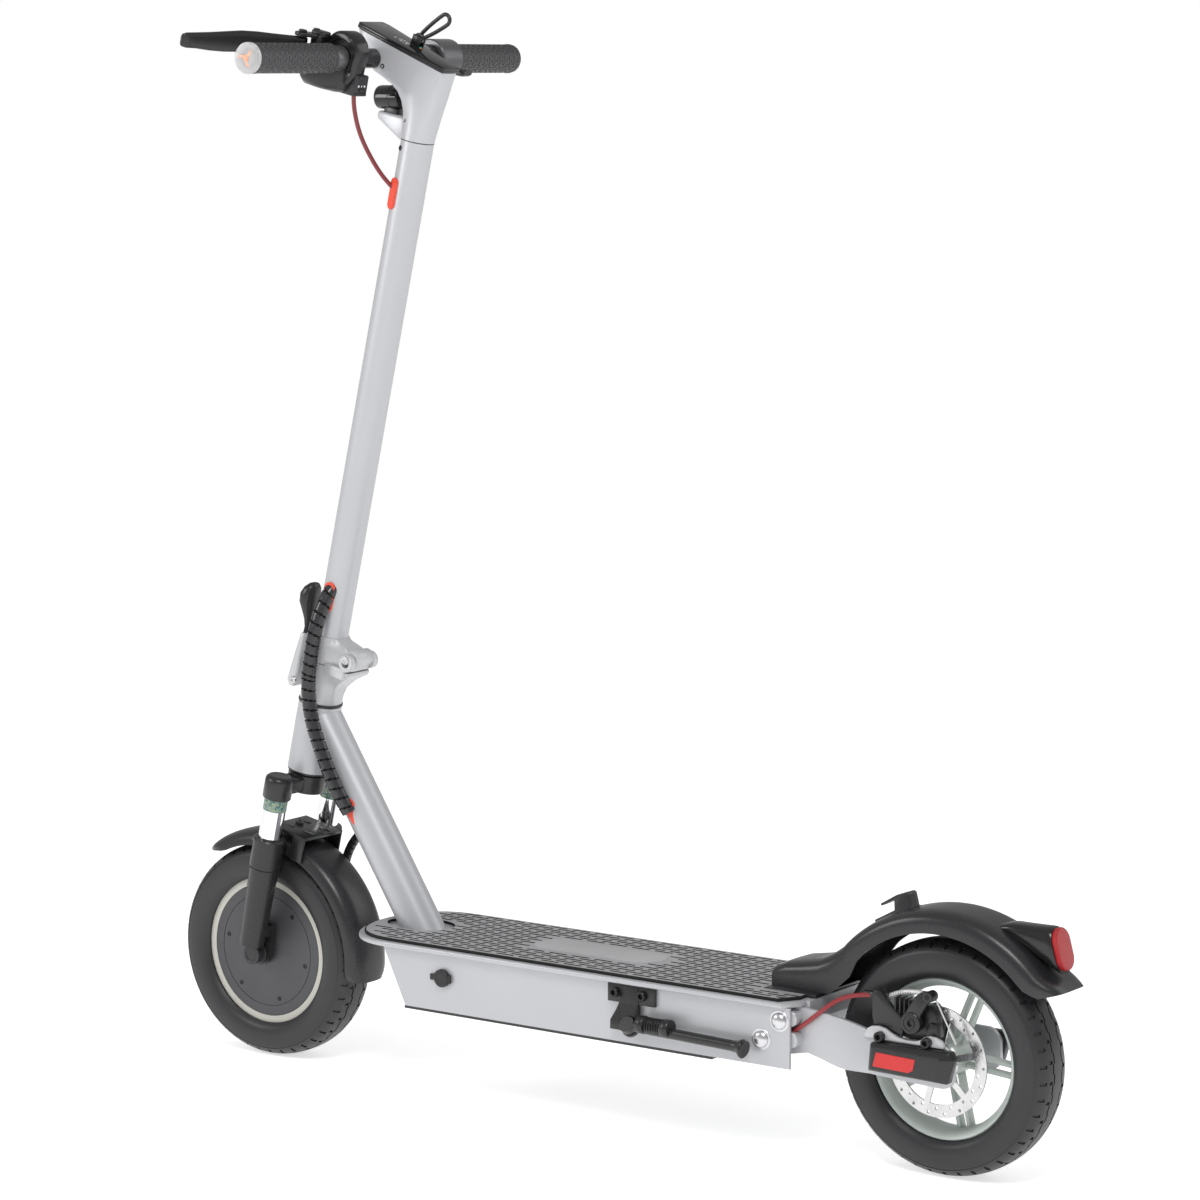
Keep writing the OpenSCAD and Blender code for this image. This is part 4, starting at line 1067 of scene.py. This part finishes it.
# ---- Throttle ----
# A round housing with a satin grey outer band on the right of the bar; its thumb paddle points
# back towards the rider and springs up again.
band_grey = mottled("band_grey", (0.11, 0.11, 0.115), 0.25, metal=0.55, grain=900)
barrel = turned(
    "throttle_barrel",
    [
        (11.2, -117.2), (20.8, -117.2), (22.3, -115.8), (22.4, -111), (22.4, -95), (22.4, -82),
        (20.8, -80.2), (11.2, -80.2),
    ],
    sides=96,
)
mount(barrel, bar, "stem", "black_plastic", band_grey, smooth=30)
inner = turned(
    "throttle_collar", [(11.2, -80), (15.8, -80), (16.2, -79.4), (16.2, -70), (15.6, -69.2), (11.2, -69)],
    sides=64,
)
mount(inner, bar, "stem", "black_plastic", moulded_black, "throttle_housing")
rings = []
for out, drop, half_y, half_w in (
    (-14, -9, 7, 5), (-20, -9, 6.8, 4.6), (-25, -9.2, 6.6, 4.2), (-30, -9.4, 7.4, 4), (-36, -9, 8.4, 4),
    (-40, -8.2, 8.2, 3.6), (-42, -7.8, 6.8, 2.6),
):
    ring = oval_outline(half_y, half_w, 0.6, 0.6, 24)
    rings.append([(out, -103 + y, drop + w) for y, w in ring])
paddle = lofted("thumb_paddle", rings)
mount(paddle, at_bar, "throttle", "black_plastic", moulded_black, "throttle_paddle", smooth=50)

# ---- Headlight ----
# A short black barrel with a clear front lens and a cooling ring, on a small foot that is
# screwed to a silver wedge under the bar head.
lamp = column @ Matrix.Translation((45, 0, 1018)) @ Matrix.Rotation(LEAN, 4, "Y") @ to_front
shell = turned(
    "lamp_shell",
    [
        (9, -14.6), (12.4, -14.4), (13.5, -13), (13.5, -4), (12.9, -3.5), (12.9, -2), (13.5, -1.5),
        (13.5, 15), (13, 17.6), (12, 18.4), (11.6, 16.6), (11.6, 15),
    ],
    sides=64,
)
mount(shell, lamp, "stem", "gloss_black", black_glass, "headlight")
lens_glass = turned("lamp_lens", [(11.6, 15.4), (11.5, 16.6), (9, 17.6), (5, 18.2), (1, 18.4)], sides=48)
mount(lens_glass, lamp, "stem", "gloss_black", clear)
foot = soften(block("lamp_foot", (31, -6.5, 998), (50, 6.5, 1007.5)), 1.4, 2)
mount(foot, column, "stem", "gloss_black", moulded_black)
wedge = block("lamp_wedge", (14, -10.5, 973), (58, 10.5, 1000.2))
for corner in wedge.data.vertices:
    if corner.co.x > 40 and corner.co.z < 985:
        corner.co.z = 991.5
    if corner.co.x < 40 and corner.co.z > 985:
        corner.co.z = 1001.5
    if corner.co.x > 40:
        corner.co.y *= 0.72
soften(wedge, 3.2, 3)
mount(wedge, column, "stem", "silver_paint", silver_paint, "lamp_bracket")
foot_screw = turned("lamp_foot_screw", [(3, 0), (3, 2), (2.2, 2.6), (1.3, 2.6), (1.2, 1.4)], sides=20)
foot_screw.matrix_world = Matrix.Translation((53, 0, 993)) @ Matrix.Rotation(math.radians(112), 4, "Y")
mount(foot_screw, column, "stem", "steel", chrome)
for n, w in enumerate((1000, 968)):
    side_screw = turned(
        f"stem_screw_{n}", [(3.1, 0), (3.1, 0.9), (2.5, 1.4), (1.4, 1.4), (1.3, 0.5)], sides=20
    )
    around = Matrix.Rotation(math.radians(58), 4, "Z")
    side_screw.matrix_world = around @ Matrix.Translation((18.8, 0, w)) @ to_front
    mount(side_screw, column, "stem", "steel", black_steel)
head_screw = turned("head_screw", [(3.2, 0), (3.2, 1), (2.6, 1.5), (1.5, 1.5), (1.4, 0.4)], sides=20)
head_screw.matrix_world = Matrix.Translation((51, 20.2, 1052)) @ about_y
mount(head_screw, column, "stem", "steel", black_steel)

# ---- Fold joint ----
# Two silver castings, the upper hinged on the lower by a cross pin behind the column, with a
# black wear ring under them on the head tube.
cast_silver = mottled("cast_silver", (0.56, 0.565, 0.58), 0.4, metal=0.2, drift=0.04, grain=1500, relief=0.08)


def column_ring(w, radius, back=0.0, half_back=0.0, steps=40):
    """Round section whose rear is drawn out to a nose of the given length and half width"""
    ring = []
    for k in range(steps):
        t = math.tau * k / steps
        x, y = radius * math.cos(t), radius * math.sin(t)
        if x < 0 and back:
            pull = (-x / radius) ** 1.4
            x -= back * pull
            y = y * (1 - pull) + math.copysign(min(half_back, abs(y) + half_back * pull * 0.75), y) * pull
        ring.append((x, y, w))
    return ring


lower_casting = lofted("fold_base_cast", [
    column_ring(312, 24.2), column_ring(313, 25), column_ring(334, 25, 1, 12), column_ring(344, 25.4, 8, 15),
    column_ring(352, 25.6, 17, 19), column_ring(358, 25.8, 22, 22), column_ring(360.8, 25.4, 22, 22),
])
upper_casting = lofted(
    "fold_sleeve_cast",
    [
        column_ring(361.4, 25.4, 18, 15), column_ring(363, 25.8, 22, 15.2),
        column_ring(370, 25.8, 25, 15.4), column_ring(379, 25.2, 22, 15.2), column_ring(386, 24, 12, 14),
        column_ring(390, 22.4, 4, 10), column_ring(392.4, 20.6), column_ring(392.8, 19.2),
    ],
)
ears = []
for hand in (-1, 1):
    y0, y1 = sorted((hand * 16.4, hand * 24.6))
    ear = turned("hinge_ear", sleeve(5.2, 10.2, y0, y1, 0.8), sides=48, closed=True)
    ear.matrix_world = Matrix.Translation((-44, 0, 373)) @ about_y
    web = soften(block("hinge_web", (-43, y0, 352), (-14, y1, 365)), 2)
    ears += [ear, web]
lower = joined("fold_base_cast", [lower_casting] + ears)
mount(lower, column, "fork", "grey_casting", cast_silver, "stem_base", smooth=45)
knuckle = turned("hinge_knuckle", sleeve(5.2, 10.2, -15.6, 15.6, 0.8), sides=48, closed=True)
hinge = Matrix.Translation((-44, 0, 377)) @ about_y
knuckle.matrix_world = hinge
mount(
    joined("fold_sleeve_cast", [upper_casting, knuckle]), column, "stem", "grey_casting", cast_silver,
    "stem_sleeve", smooth=45,
)
cross_pin = turned(
    "hinge_pin",
    [(2.2, -25.3), (2.4, -25.9), (4.6, -26), (5, -25.4), (5, 25.4), (4.6, 26), (2.4, 25.9), (2.2, 25.3)],
    sides=40,
)
mount(cross_pin, column @ hinge, "fork", "steel", drilled_steel, "fold_pin")
wear_ring = turned(
    "headset_ring", [(20, 308.6), (25.9, 308.8), (26.2, 309.4), (26.2, 311.2), (25.9, 311.8), (20, 312)],
    sides=64, closed=True,
)
mount(wear_ring, column, "fork", "black_plastic", moulded_black)
cone = turned(
    "lower_headset_ring", [(16, 224.4), (24.6, 224.4), (25.2, 225), (25.2, 226.6), (16, 226.9)], sides=64
)
mount(cone, column, "fork", "black_plastic", moulded_black)

# ---- Fold latch ----
# A silver plate on a cross screw in front of the column, with a black moulded handle that
# locks the upper casting down.
rings = []
for w, middle, half_u, half_y in (
    (317, 37, 3, 8), (319, 37, 6, 13), (326, 37.5, 8, 15.5), (340, 36, 7, 15.8), (360, 35, 5.5, 15),
    (378, 33.5, 4.5, 14), (384, 33, 4, 13.4), (385, 33, 3, 12.6),
):
    rings.append([(middle + u, y, w) for u, y in oval_outline(half_u, half_y, 0.55, 0.55, 32)])
latch_plate = lofted("latch_plate", rings)
trimmed(latch_plate, block("latch_slot", (10, -12.4, 300), (38.4, 12.4, 356)), "DIFFERENCE")
for hand in (-1, 1):
    screw_head = turned(
        "latch_screw", [(4.6, 15.4), (4.8, 16.4), (4.2, 17.2), (2.4, 17.2), (2.2, 16)], sides=28
    )
    if hand < 0:
        turn_about(screw_head, 180, "X")
    mount(screw_head, column @ Matrix.Translation((33, 0, 327)) @ about_y, "latch", "steel", drilled_steel)
mount(latch_plate, column, "latch", "grey_casting", cast_silver, "fold_latch", smooth=45)
rings = []
for w, middle, half_u, half_y in (
    (384.5, 33, 3.4, 11), (392, 33.5, 3.6, 9.4), (401, 35.5, 4.6, 9.6), (411, 38, 7, 12),
    (420, 40.5, 9.4, 14), (430, 41, 9.6, 14), (438, 39.5, 7.4, 11.6), (443, 38, 4, 7),
    (444.2, 37.6, 1.4, 3),
):
    rings.append([(middle + u, y, w) for u, y in oval_outline(half_u, half_y, 0.8, 0.8, 32)])
mount(lofted("latch_handle", rings), column, "latch", "black_plastic", satin_black, smooth=60)

# ---- Rear fender ----
# One moulded black mudguard with a flat foot on the deck's tail, a flared lip behind and a hook
# on top that holds the folded column. A thin black strip under its foot covers the arms' top plate.
TYRE_R = 127
crown = [
    (204.6, 187), (205, 195), (204.6, 201.5), (202.4, 204.4), (188, 209.6), (165, 213.4), (147, 217.5),
    (132, 226),
]
edge = [
    (204.4, 182.6), (204.6, 182.5), (204, 182.5), (202, 182.5), (188, 182.4), (165, 182.3), (147, 182.2),
    (130, 183.4),
]
halves = [33, 34, 34.6, 35, 36, 37, 37.6, 38]
for degrees in range(42, 137, 3):
    x, z = on_arc(161, degrees)
    crown.append((x, z + TYRE_R))
    x, z = on_arc(137, degrees + 1.5 if degrees < 60 else degrees)
    early = max(0, 46 - degrees)
    edge.append((x + (110 - x) * early / 9, z + TYRE_R - 4 * early))
    halves.append(38)
crown += [(-123, 231.6), (-133, 225.4), (-140, 220.6), (-145, 217)]
edge += [(-104, 217), (-110, 214), (-115, 211.6), (-119, 209.6)]
halves += [37.4, 36, 34, 31]
squareness = [0.34 + 0.011 * min(k, 14) for k in range(len(crown))]
rings = [channel(a, b, half, 2.6, bow, 24) for a, b, half, bow in zip(crown, edge, halves, squareness)]
rear_fender = lofted("rear_fender_shell", rings)
# A thin black strip over the silver top plate of the rear arms, under the fender's foot.
dark_strip = soften(block("fender_dark_strip", (140.6, -46.6, 178.2), (205.6, 46.6, 182.5)), 0.8)
catch_line = [
    (36, 283.4), (90, 260.5), (91.5, 263.2), (67, 276.6), (67.5, 287.4), (83, 279.4), (84.4, 281.6),
    (64.6, 293.4), (53, 297.4), (50, 296), (46.4, 282),
]
catch = plate("fender_catch", [(x, -z) for x, z in catch_line], -9.2, 9.2)
soften(turn_about(catch, -90, "X"), 0.9, 2)
mount(
    joined("rear_fender_shell", [rear_fender, dark_strip, catch]), datum, "frame", "black_plastic",
    moulded_black, "rear_fender", smooth=40,
)

# ---- Tail light ----
# A red obround lens with a prism pattern in a black housing that grows out of the fender's crown.
# It leans forward at its top.
LENS_LEAN = 14.7
rings = []
for x, z, half_y, half_z, lean in (
    (-52, 270, 11, 5, 0), (-70, 273, 13.6, 6.6, 0), (-76, 272, 14.4, 8.5, 2), (-90, 268, 15.4, 12.6, 6),
    (-106, 263, 16.2, 18, 10), (-122, 258, 16.8, 23.8, LENS_LEAN), (-126.4, 256.9, 17, 24.8, LENS_LEAN),
    (-128.4, 256.4, 16.4, 24.2, LENS_LEAN),
):
    tilt = math.radians(lean)
    ring = []
    for y, up in oval_outline(half_y, half_z, 0.72, 0.72, 40):
        ring.append((x + up * math.sin(tilt), y, z + up * math.cos(tilt)))
    rings.append(ring)
mount(lofted("tail_lamp_housing", rings), datum, "frame", "black_plastic", disc_black, smooth=45)
lens_red = mottled("lens_red", (0.42, 0.008, 0.012), 0.2, relief=0.0, drift=0.02)


def prisms(finish, scale, strength, depth):
    """Puts a pattern of small prisms in the place of a finish's fine grain"""
    nodes, links = finish.node_tree.nodes, finish.node_tree.links
    cells = nodes.new("ShaderNodeTexVoronoi")
    dial(cells, {"Scale": scale})
    links.new(cells.outputs["Distance"], nodes["relief"].inputs["Height"])
    dial(nodes["relief"], {"Strength": strength, "Distance": depth})


prisms(lens_red, 330, 0.35, 0.0008)
lens_edge = []
for t in (math.tau * k / 48 for k in range(48)):
    lens_edge.append((14.8 * math.cos(t), 14.8 * math.sin(t) + (8 if math.sin(t) > 0 else -8)))
tail_lens = soften(plate("tail_lens", lens_edge, 0.8, 8), 1.8, 3)
leaning = datum @ Matrix.Translation((-126, 0, 257)) @ Matrix.Rotation(math.radians(LENS_LEAN), 4, "Y")
lens_face = leaning @ to_back @ Matrix.Rotation(math.pi / 2, 4, "Z")
mount(tail_lens, lens_face, "frame", "red_lens", lens_red, "tail_light")

# ---- Rear arms ----
# Two bent alloy arms from the deck box to the axle slots, stepped in beside the wheel, welded to
# a cross wall and a top plate under the fender's foot.

# Each station: x, lower edge, upper edge
stations = [
    (-32, -9, 9), (-31, -14, 13), (-28, -18.5, 17.5), (-23, -21.6, 21.6), (-18, -22.6, 23.8),
    (0, -22.2, 24.2), (40, -20.4, 24.4), (60, -19.4, 25), (70, -18.8, 27), (78, -18.4, 30),
    (86, -17.6, 33.4), (94, -16.6, 36.4), (102, -14.6, 39), (112, -11.6, 41), (124, -8, 42.6),
    (140, -4, 44), (150, -6, 45), (170, -10, 45), (190, -13, 44.8), (205, -14, 44.6),
]
arms = []
for hand in (-1, 1):
    rings = []
    for x, low, high in stations:
        step = min(1.0, max(0.0, (x - 68) / 40))
        y = 46 + 12 * step * step * (3 - 2 * step)
        near, far = hand * y, hand * (y + 6)
        rings.append([(x, near, low), (x, far, low), (x, far, high), (x, near, high)])
    arms.append(soften(lofted("rear_arm", rings), 1.2, 3, 50))
arms.append(soften(block("cross_wall", (141, -58, 28), (146, 58, 51)), 1))
arms.append(soften(block("top_plate", (141, -46, 51), (205, 46, 55)), 0.8))
mount(joined("rear_arm", arms), at_rear, "frame", "silver_paint", silver_paint, "rear_fork", smooth=40)

# ---- Rear arm spacers and dome bolts ----
# Bright round spacers hold the arms off the deck box. Chromed dome heads on thin washers close
# the bolts outside.
dome_chrome = mottled("dome_chrome", (0.66, 0.66, 0.68), 0.3, metal=1.0, drift=0.02, relief=0.01, spread=0.03)
for x, z in ((166, 157), (189, 134.5)):
    for hand in (-1, 1):
        turning = about_y if hand > 0 else Matrix.Rotation(math.pi / 2, 4, "X")
        place = datum @ Matrix.Translation((x, hand * 79, z)) @ turning
        dome = turned(
            "dome_bolt",
            [(9.4, -0.1), (9.6, 0.5), (9.3, 1.6), (8.5, 3), (7, 4.4), (5, 5.4), (2.6, 6), (0.6, 6.1)],
            sides=48,
        )
        washer = turned(
            "dome_washer", [(5.4, -0.2), (11.4, -0.2), (11.8, 0.1), (11.4, 0.5), (9, 0.6)], sides=48
        )
        replaced = ["dome_bolts"] if (x, hand) == (166, 1) else []
        mount(joined("dome_bolt", [dome, washer]), place, "frame", "chrome", dome_chrome, *replaced)
spacers = []
for x, z in ((155, 160), (154, 137)):
    for hand in (-1, 1):
        y0, y1 = sorted((hand * 63.4, hand * 75.4))
        spacer = turned("arm_spacer", sleeve(4, 8.4, y0, y1, 0.6), sides=40)
        spacer.matrix_world = Matrix.Translation((x, 0, z)) @ about_y
        spacers.append(spacer)
mount(joined("arm_spacer", spacers), datum, "frame", "silver_paint", silver_paint)

# ---- Rear axle and its covers ----
# A steel axle, hidden behind moulded black covers with a chamfered rear end and a red prism
# reflector on each side.
repaint(drilled_steel, "rear_axle")
reflector_red = mottled("reflector_red", (0.66, 0.03, 0.03), 0.35, relief=0.0, drift=0.02)
prisms(reflector_red, 420, 0.3, 0.0006)
cover_line = [(66, -12.2), (63.5, 17.4), (60.5, 19.2), (-33, 20.2), (-37.5, 12), (-30, -14.2)]
face_line = [(60.5, -9), (58, 13.2), (57, 14), (-22, 14), (-25.5, 11.5), (-17, -11)]
for hand, name in ((1, "left"), (-1, "right")):
    rings = []
    for y, base in ((52.2, 0.0), (61, 0.0), (63.5, 0.18), (67.9, 1.0)):
        ring = []
        for (x0, z0), (x1, z1) in zip(cover_line, face_line):
            ring.append((x0 + (x1 - x0) * base, hand * y, z0 + (z1 - z0) * base))
        rings.append(ring)
    cover = soften(lofted(f"axle_cover_{name}_skin", rings), 1.1, 2, 15)
    mount(cover, at_rear, "frame", "gloss_black", satin_black, f"axle_cover_{name}", smooth=30)
    patch = plate("reflector", [(52.5, -10.2), (56.8, 5.4), (13.4, 6.6), (7.5, 3.2), (5, -8.7)], 67.5, 68.7)
    soften(patch, 0.35, 1)
    turn_about(patch, -90, "X")
    if hand < 0:
        turn_and_shift(patch, Matrix.Scale(-1, 4, (0, 1, 0)))
        bpy.ops.object.mode_set(mode="EDIT")
        bpy.ops.mesh.select_all(action="SELECT")
        bpy.ops.mesh.normals_make_consistent(inside=False)
        bpy.ops.object.mode_set(mode="OBJECT")
    mount(patch, at_rear, "frame", "red_lens", reflector_red)

# ---- Rear brake caliper ----
# A finned black caliper on a silver adaptor with two socket bolts. The cable ends in a ferrule
# and a braided white boot, and pulls on a short cast arm.
adaptor_line = [
    (74.5, 21.2), (74.8, 25), (71, 31), (66, 34), (57, 35), (49, 33.4), (43, 30), (34, 26), (24, 24.4),
    (14, 24.6), (8, 26), (2, 30.4), (-5, 32.6), (-12, 32), (-19, 29.5), (-22, 26), (-22, 21.2),
]
adaptor = plate("caliper_adaptor", [(x, -z) for x, z in adaptor_line], 52.1, 56)
soften(turn_about(adaptor, -90, "X"), 0.7)
mount(adaptor, at_rear, "frame", "silver_paint", cast_silver, "caliper_bracket")
bolts = []
for x, z in ((54, 24.8), (-3, 26)):
    head = turned(
        "adaptor_bolt",
        [
            (2.9, 52.2), (2.9, 56), (5.4, 56), (5.6, 56.3), (5.6, 62), (5, 62.6), (3.1, 62.6), (2.9, 62.2),
            (2.9, 58.6),
        ],
        sides=40,
    )
    head.matrix_world = Matrix.Translation((x, 0, z)) @ about_y
    bolts.append(head)
mount(joined("adaptor_bolt", bolts), at_rear, "frame", "steel", black_steel, "socket_bolts")
pieces = []
for outline, y0, y1, edge_width in (
    (
        [
            (56, 30), (55, 38), (50, 46), (40, 52), (28, 57), (12, 62), (2, 61.6), (-7, 54), (-8.4, 44),
            (-8, 28), (4, 24.8), (20, 22.4),
        ],
        32.4, 45.9, 1.6,
    ),
    ([(54, 32), (50, 44), (30, 55), (6, 61), (-6, 50), (-7, 30), (20, 23.4)], 18.2, 28.6, 1.6),
    (
        [(65.6, 34), (68, 44), (68.6, 69), (65, 72), (58, 72), (44, 57), (33, 48), (27, 39), (27.4, 33.6)],
        45.6, 51.3, 1.2,
    ),
    ([(64, 28.6), (64, 36), (38, 39), (30, 33), (32, 27)], 38, 50.6, 1.2),
    ([(2, 28), (4, 40), (-2, 45), (-11, 44), (-13, 30), (-8, 26)], 38, 50.4, 1.4),
):
    slab = plate("caliper_part", [(x, -z) for x, z in outline], y0, y1)
    pieces.append(soften(turn_about(slab, -90, "X"), edge_width, 2, 25))
for k in range(5):
    x = 40.5 - 5.6 * k
    fin = block("cooling_fin", (x - 1.1, 33.6, 50), (x + 1.1, 50.4, 67.5 - 0.7 * k))
    pieces.append(soften(fin, 0.6, 1))
mouth = turned(
    "cable_stop", [(3.2, -9), (5, -9), (5.4, -8), (5.4, 2), (6.4, 2.6), (6.4, 6), (5.4, 6.6), (3.2, 6.8)],
    sides=32,
)
cable_mouth = Matrix.Translation((60.6, 42, 64.6)) @ to_front
mouth.matrix_world = cable_mouth
pieces.append(mouth)
ferrule = turned(
    "cable_ferrule", [(2.7, 6), (4, 6.2), (4.2, 7), (4.2, 14), (3.6, 15), (3.6, 22), (2.7, 22.6)], sides=32
)
ferrule.matrix_world = cable_mouth
pieces.append(ferrule)
mount(joined("caliper_part", pieces), at_rear, "frame", "black_paint", satin_black, "caliper_body")
hub_disc = turned(
    "arm_hub",
    [
        (3.6, 50.6), (11, 51.4), (11.6, 52), (11.6, 58.4), (11, 59), (8.2, 59.3), (7.8, 58.6), (5.6, 58.6),
        (5.2, 59.6), (3.4, 59.8), (3, 59.2), (3, 57),
    ],
    sides=48,
)
hub_disc.matrix_world = Matrix.Translation((17, 0, 44)) @ about_y
blade_arm = plate(
    "arm_blade",
    [
        (x, -z)
        for x, z in [
            (25.6, 52), (12.6, 73), (4, 79.4), (-1, 80), (-8.6, 76.6), (-9.6, 73.4), (-2, 66), (6.5, 52),
            (7, 42), (17, 37), (26, 42),
        ]
    ],
    52.2, 57.4,
)
soften(turn_about(blade_arm, -90, "X"), 1.4, 2, 25)
clamp_pin = turned(
    "arm_clamp", [(2.4, 44.2), (5.6, 44.6), (6, 45.4), (6, 56), (5.4, 57.8), (3, 58), (2.8, 57)], sides=32
)
clamp_pin.matrix_world = Matrix.Translation((-3, 0, 74)) @ about_y
mount(
    joined("arm_blade", [hub_disc, blade_arm, clamp_pin]), at_rear, "caliper_lever", "black_paint",
    satin_black, "caliper_arm", smooth=30,
)
braid_white = mottled("braid_white", (0.72, 0.72, 0.72), 0.4, metal=0.4, grain=900)
# Darker grey for the gaps of the braided boot: painted shade between its turns.
braid_shade = mottled("braid_shade", (0.3, 0.3, 0.3), 0.6)
boot_route = [
    (53, 42, 192), (45, 42.2, 196.4), (34, 42.6, 199.6), (22, 43, 201.4), (10, 43, 201.8), (2, 43.4, 200.6)
]
boot = spiral_wrap("braided_boot", boot_route, 5.2, 3.1, braid_white, braid_shade)
flexing(boot, datum, "frame", "caliper_lever", boot_route[0], boot_route[-1], "steel")
tail_wire = hose(
    "wire_tail", [(-8, 48, 197), (-12, 48, 190), (-18, 48, 179), (-24, 47.6, 168), (-26, 47.4, 164)], 1.9
)
sheath = hose("wire_end_cap", [(-23.4, 47.6, 169), (-27, 47.4, 162), (-32, 47, 153)], 3)
mount(joined("wire_tail", [tail_wire, sheath]), datum, "caliper_lever", "steel", braid_white)

# ---- Kickstand ----
# A black steel leg with a flared foot, hung on a bent plate with two socket bolts. A coil
# spring between two collars holds it up or down.
plate_line = [(324.6, -171), (385.4, -171), (386, -170), (386, -154), (383, -151), (372, -151), (324.6, -151)]
base = plate("stand_plate", plate_line, 79.2, 83.3)
soften(turn_about(base, -90, "X"), 0.7, 2)
tongue = lofted(
    "stand_tongue",
    [
        [(345, 79.3, 170), (369, 79.3, 170), (369, 84.2, 170), (345, 84.2, 170)],
        [(345, 79.3, 152), (370, 79.3, 152), (370, 84.4, 152), (345, 84.4, 152)],
        [(347, 81, 145), (373, 81, 145), (373, 86, 143.5), (347, 86, 143.5)],
        [(350, 86.2, 133.4), (379, 86.2, 133.4), (379, 89, 131.6), (350, 89, 131.6)],
        [(354, 89.6, 123), (378, 89.6, 123), (378, 91, 122), (354, 91, 122)],
    ],
)
soften(tongue, 0.6, 2, 25)
mount(joined("stand_plate", [base, tongue]), datum, "frame", "black_paint", satin_black, smooth=40)
repaint(satin_black, "kickstand_bracket", "kickstand_leg")
for x in (339, 375):
    stand_bolt = turned(
        "stand_bolt",
        [
            (3, 80), (3, 83), (5.3, 83), (5.6, 83.3), (5.6, 88.6), (5, 89.2), (3.2, 89.2), (2.9, 88.8),
            (2.9, 85.6),
        ],
        sides=40,
    )
    mount(stand_bolt, datum @ Matrix.Translation((x, 0, 162)) @ about_y, "frame", "steel", black_steel)
stand = datum @ Matrix.Translation((352, 93, 129))
collars = []
for x, long, radius in ((-13.6, 10, 9.9), (-45.6, 11, 10.2)):
    collar = turned("stand_collar", sleeve(6, radius, 0, long, 0.8), sides=48)
    collar.matrix_world = Matrix.Translation((x, 0, 4)) @ to_back
    collars.append(collar)
flare = lofted("stand_foot", [
    [(-137 - k, y, z - 3 - 0.5 * g) for y, z in oval_outline(6.4 + g, 6.2 + 1.25 * g, 1, 1, 32)]
    for k, g in ((0, 0), (5, 0.3), (8, 1.4), (10, 3), (12, 3.4), (13, 2.6))
])
mount(joined("stand_collar", collars + [flare]), stand, "kickstand", "black_paint", satin_black, smooth=45)
COIL_TURNS, TURN_POINTS, COIL_LENGTH, COIL_RADIUS = 7, 16, 22.6, 7.6
coil_route = []
for k in range(COIL_TURNS * TURN_POINTS + 1):
    t = math.tau * k / TURN_POINTS
    along = COIL_LENGTH * k / (COIL_TURNS * TURN_POINTS)
    coil_route.append((-23.4 - along, COIL_RADIUS * math.cos(t), 4.8 + COIL_RADIUS * math.sin(t)))
mount(hose("stand_spring", coil_route, 2.1, 3), stand, "kickstand", "steel", black_steel)

# ---- Charging cap ----
# A round black rubber plug with a pull tab in front and a small upright hinge bar behind, on
# the left of the deck box.
cap_rubber = mottled("cap_rubber", (0.02, 0.02, 0.021), 0.5, grain=1300, relief=0.1)
plug = turned(
    "charge_plug",
    [(9.4, 79.5), (10.2, 79.9), (10.4, 80.6), (10.2, 83.6), (9, 85), (6.6, 85.5), (6.2, 85.0), (2, 84.9)],
    sides=56,
)
plug.matrix_world = about_y
pull = soften(block("plug_tab", (5, 79.5, -3.6), (17, 82.6, 3.6)), 1.2, 3)
knuckle_bar = turned("plug_hinge", [(1.6, -5), (2.1, -4.6), (2.1, 4.6), (1.6, 5)], sides=24)
knuckle_bar.location = (-10.5, 81.7, 0)
mount(
    joined("charge_plug", [plug, pull, knuckle_bar]), datum @ Matrix.Translation((616, 0, 145)),
    "charge_cap", "rubber", cap_rubber, "charge_cap",
)
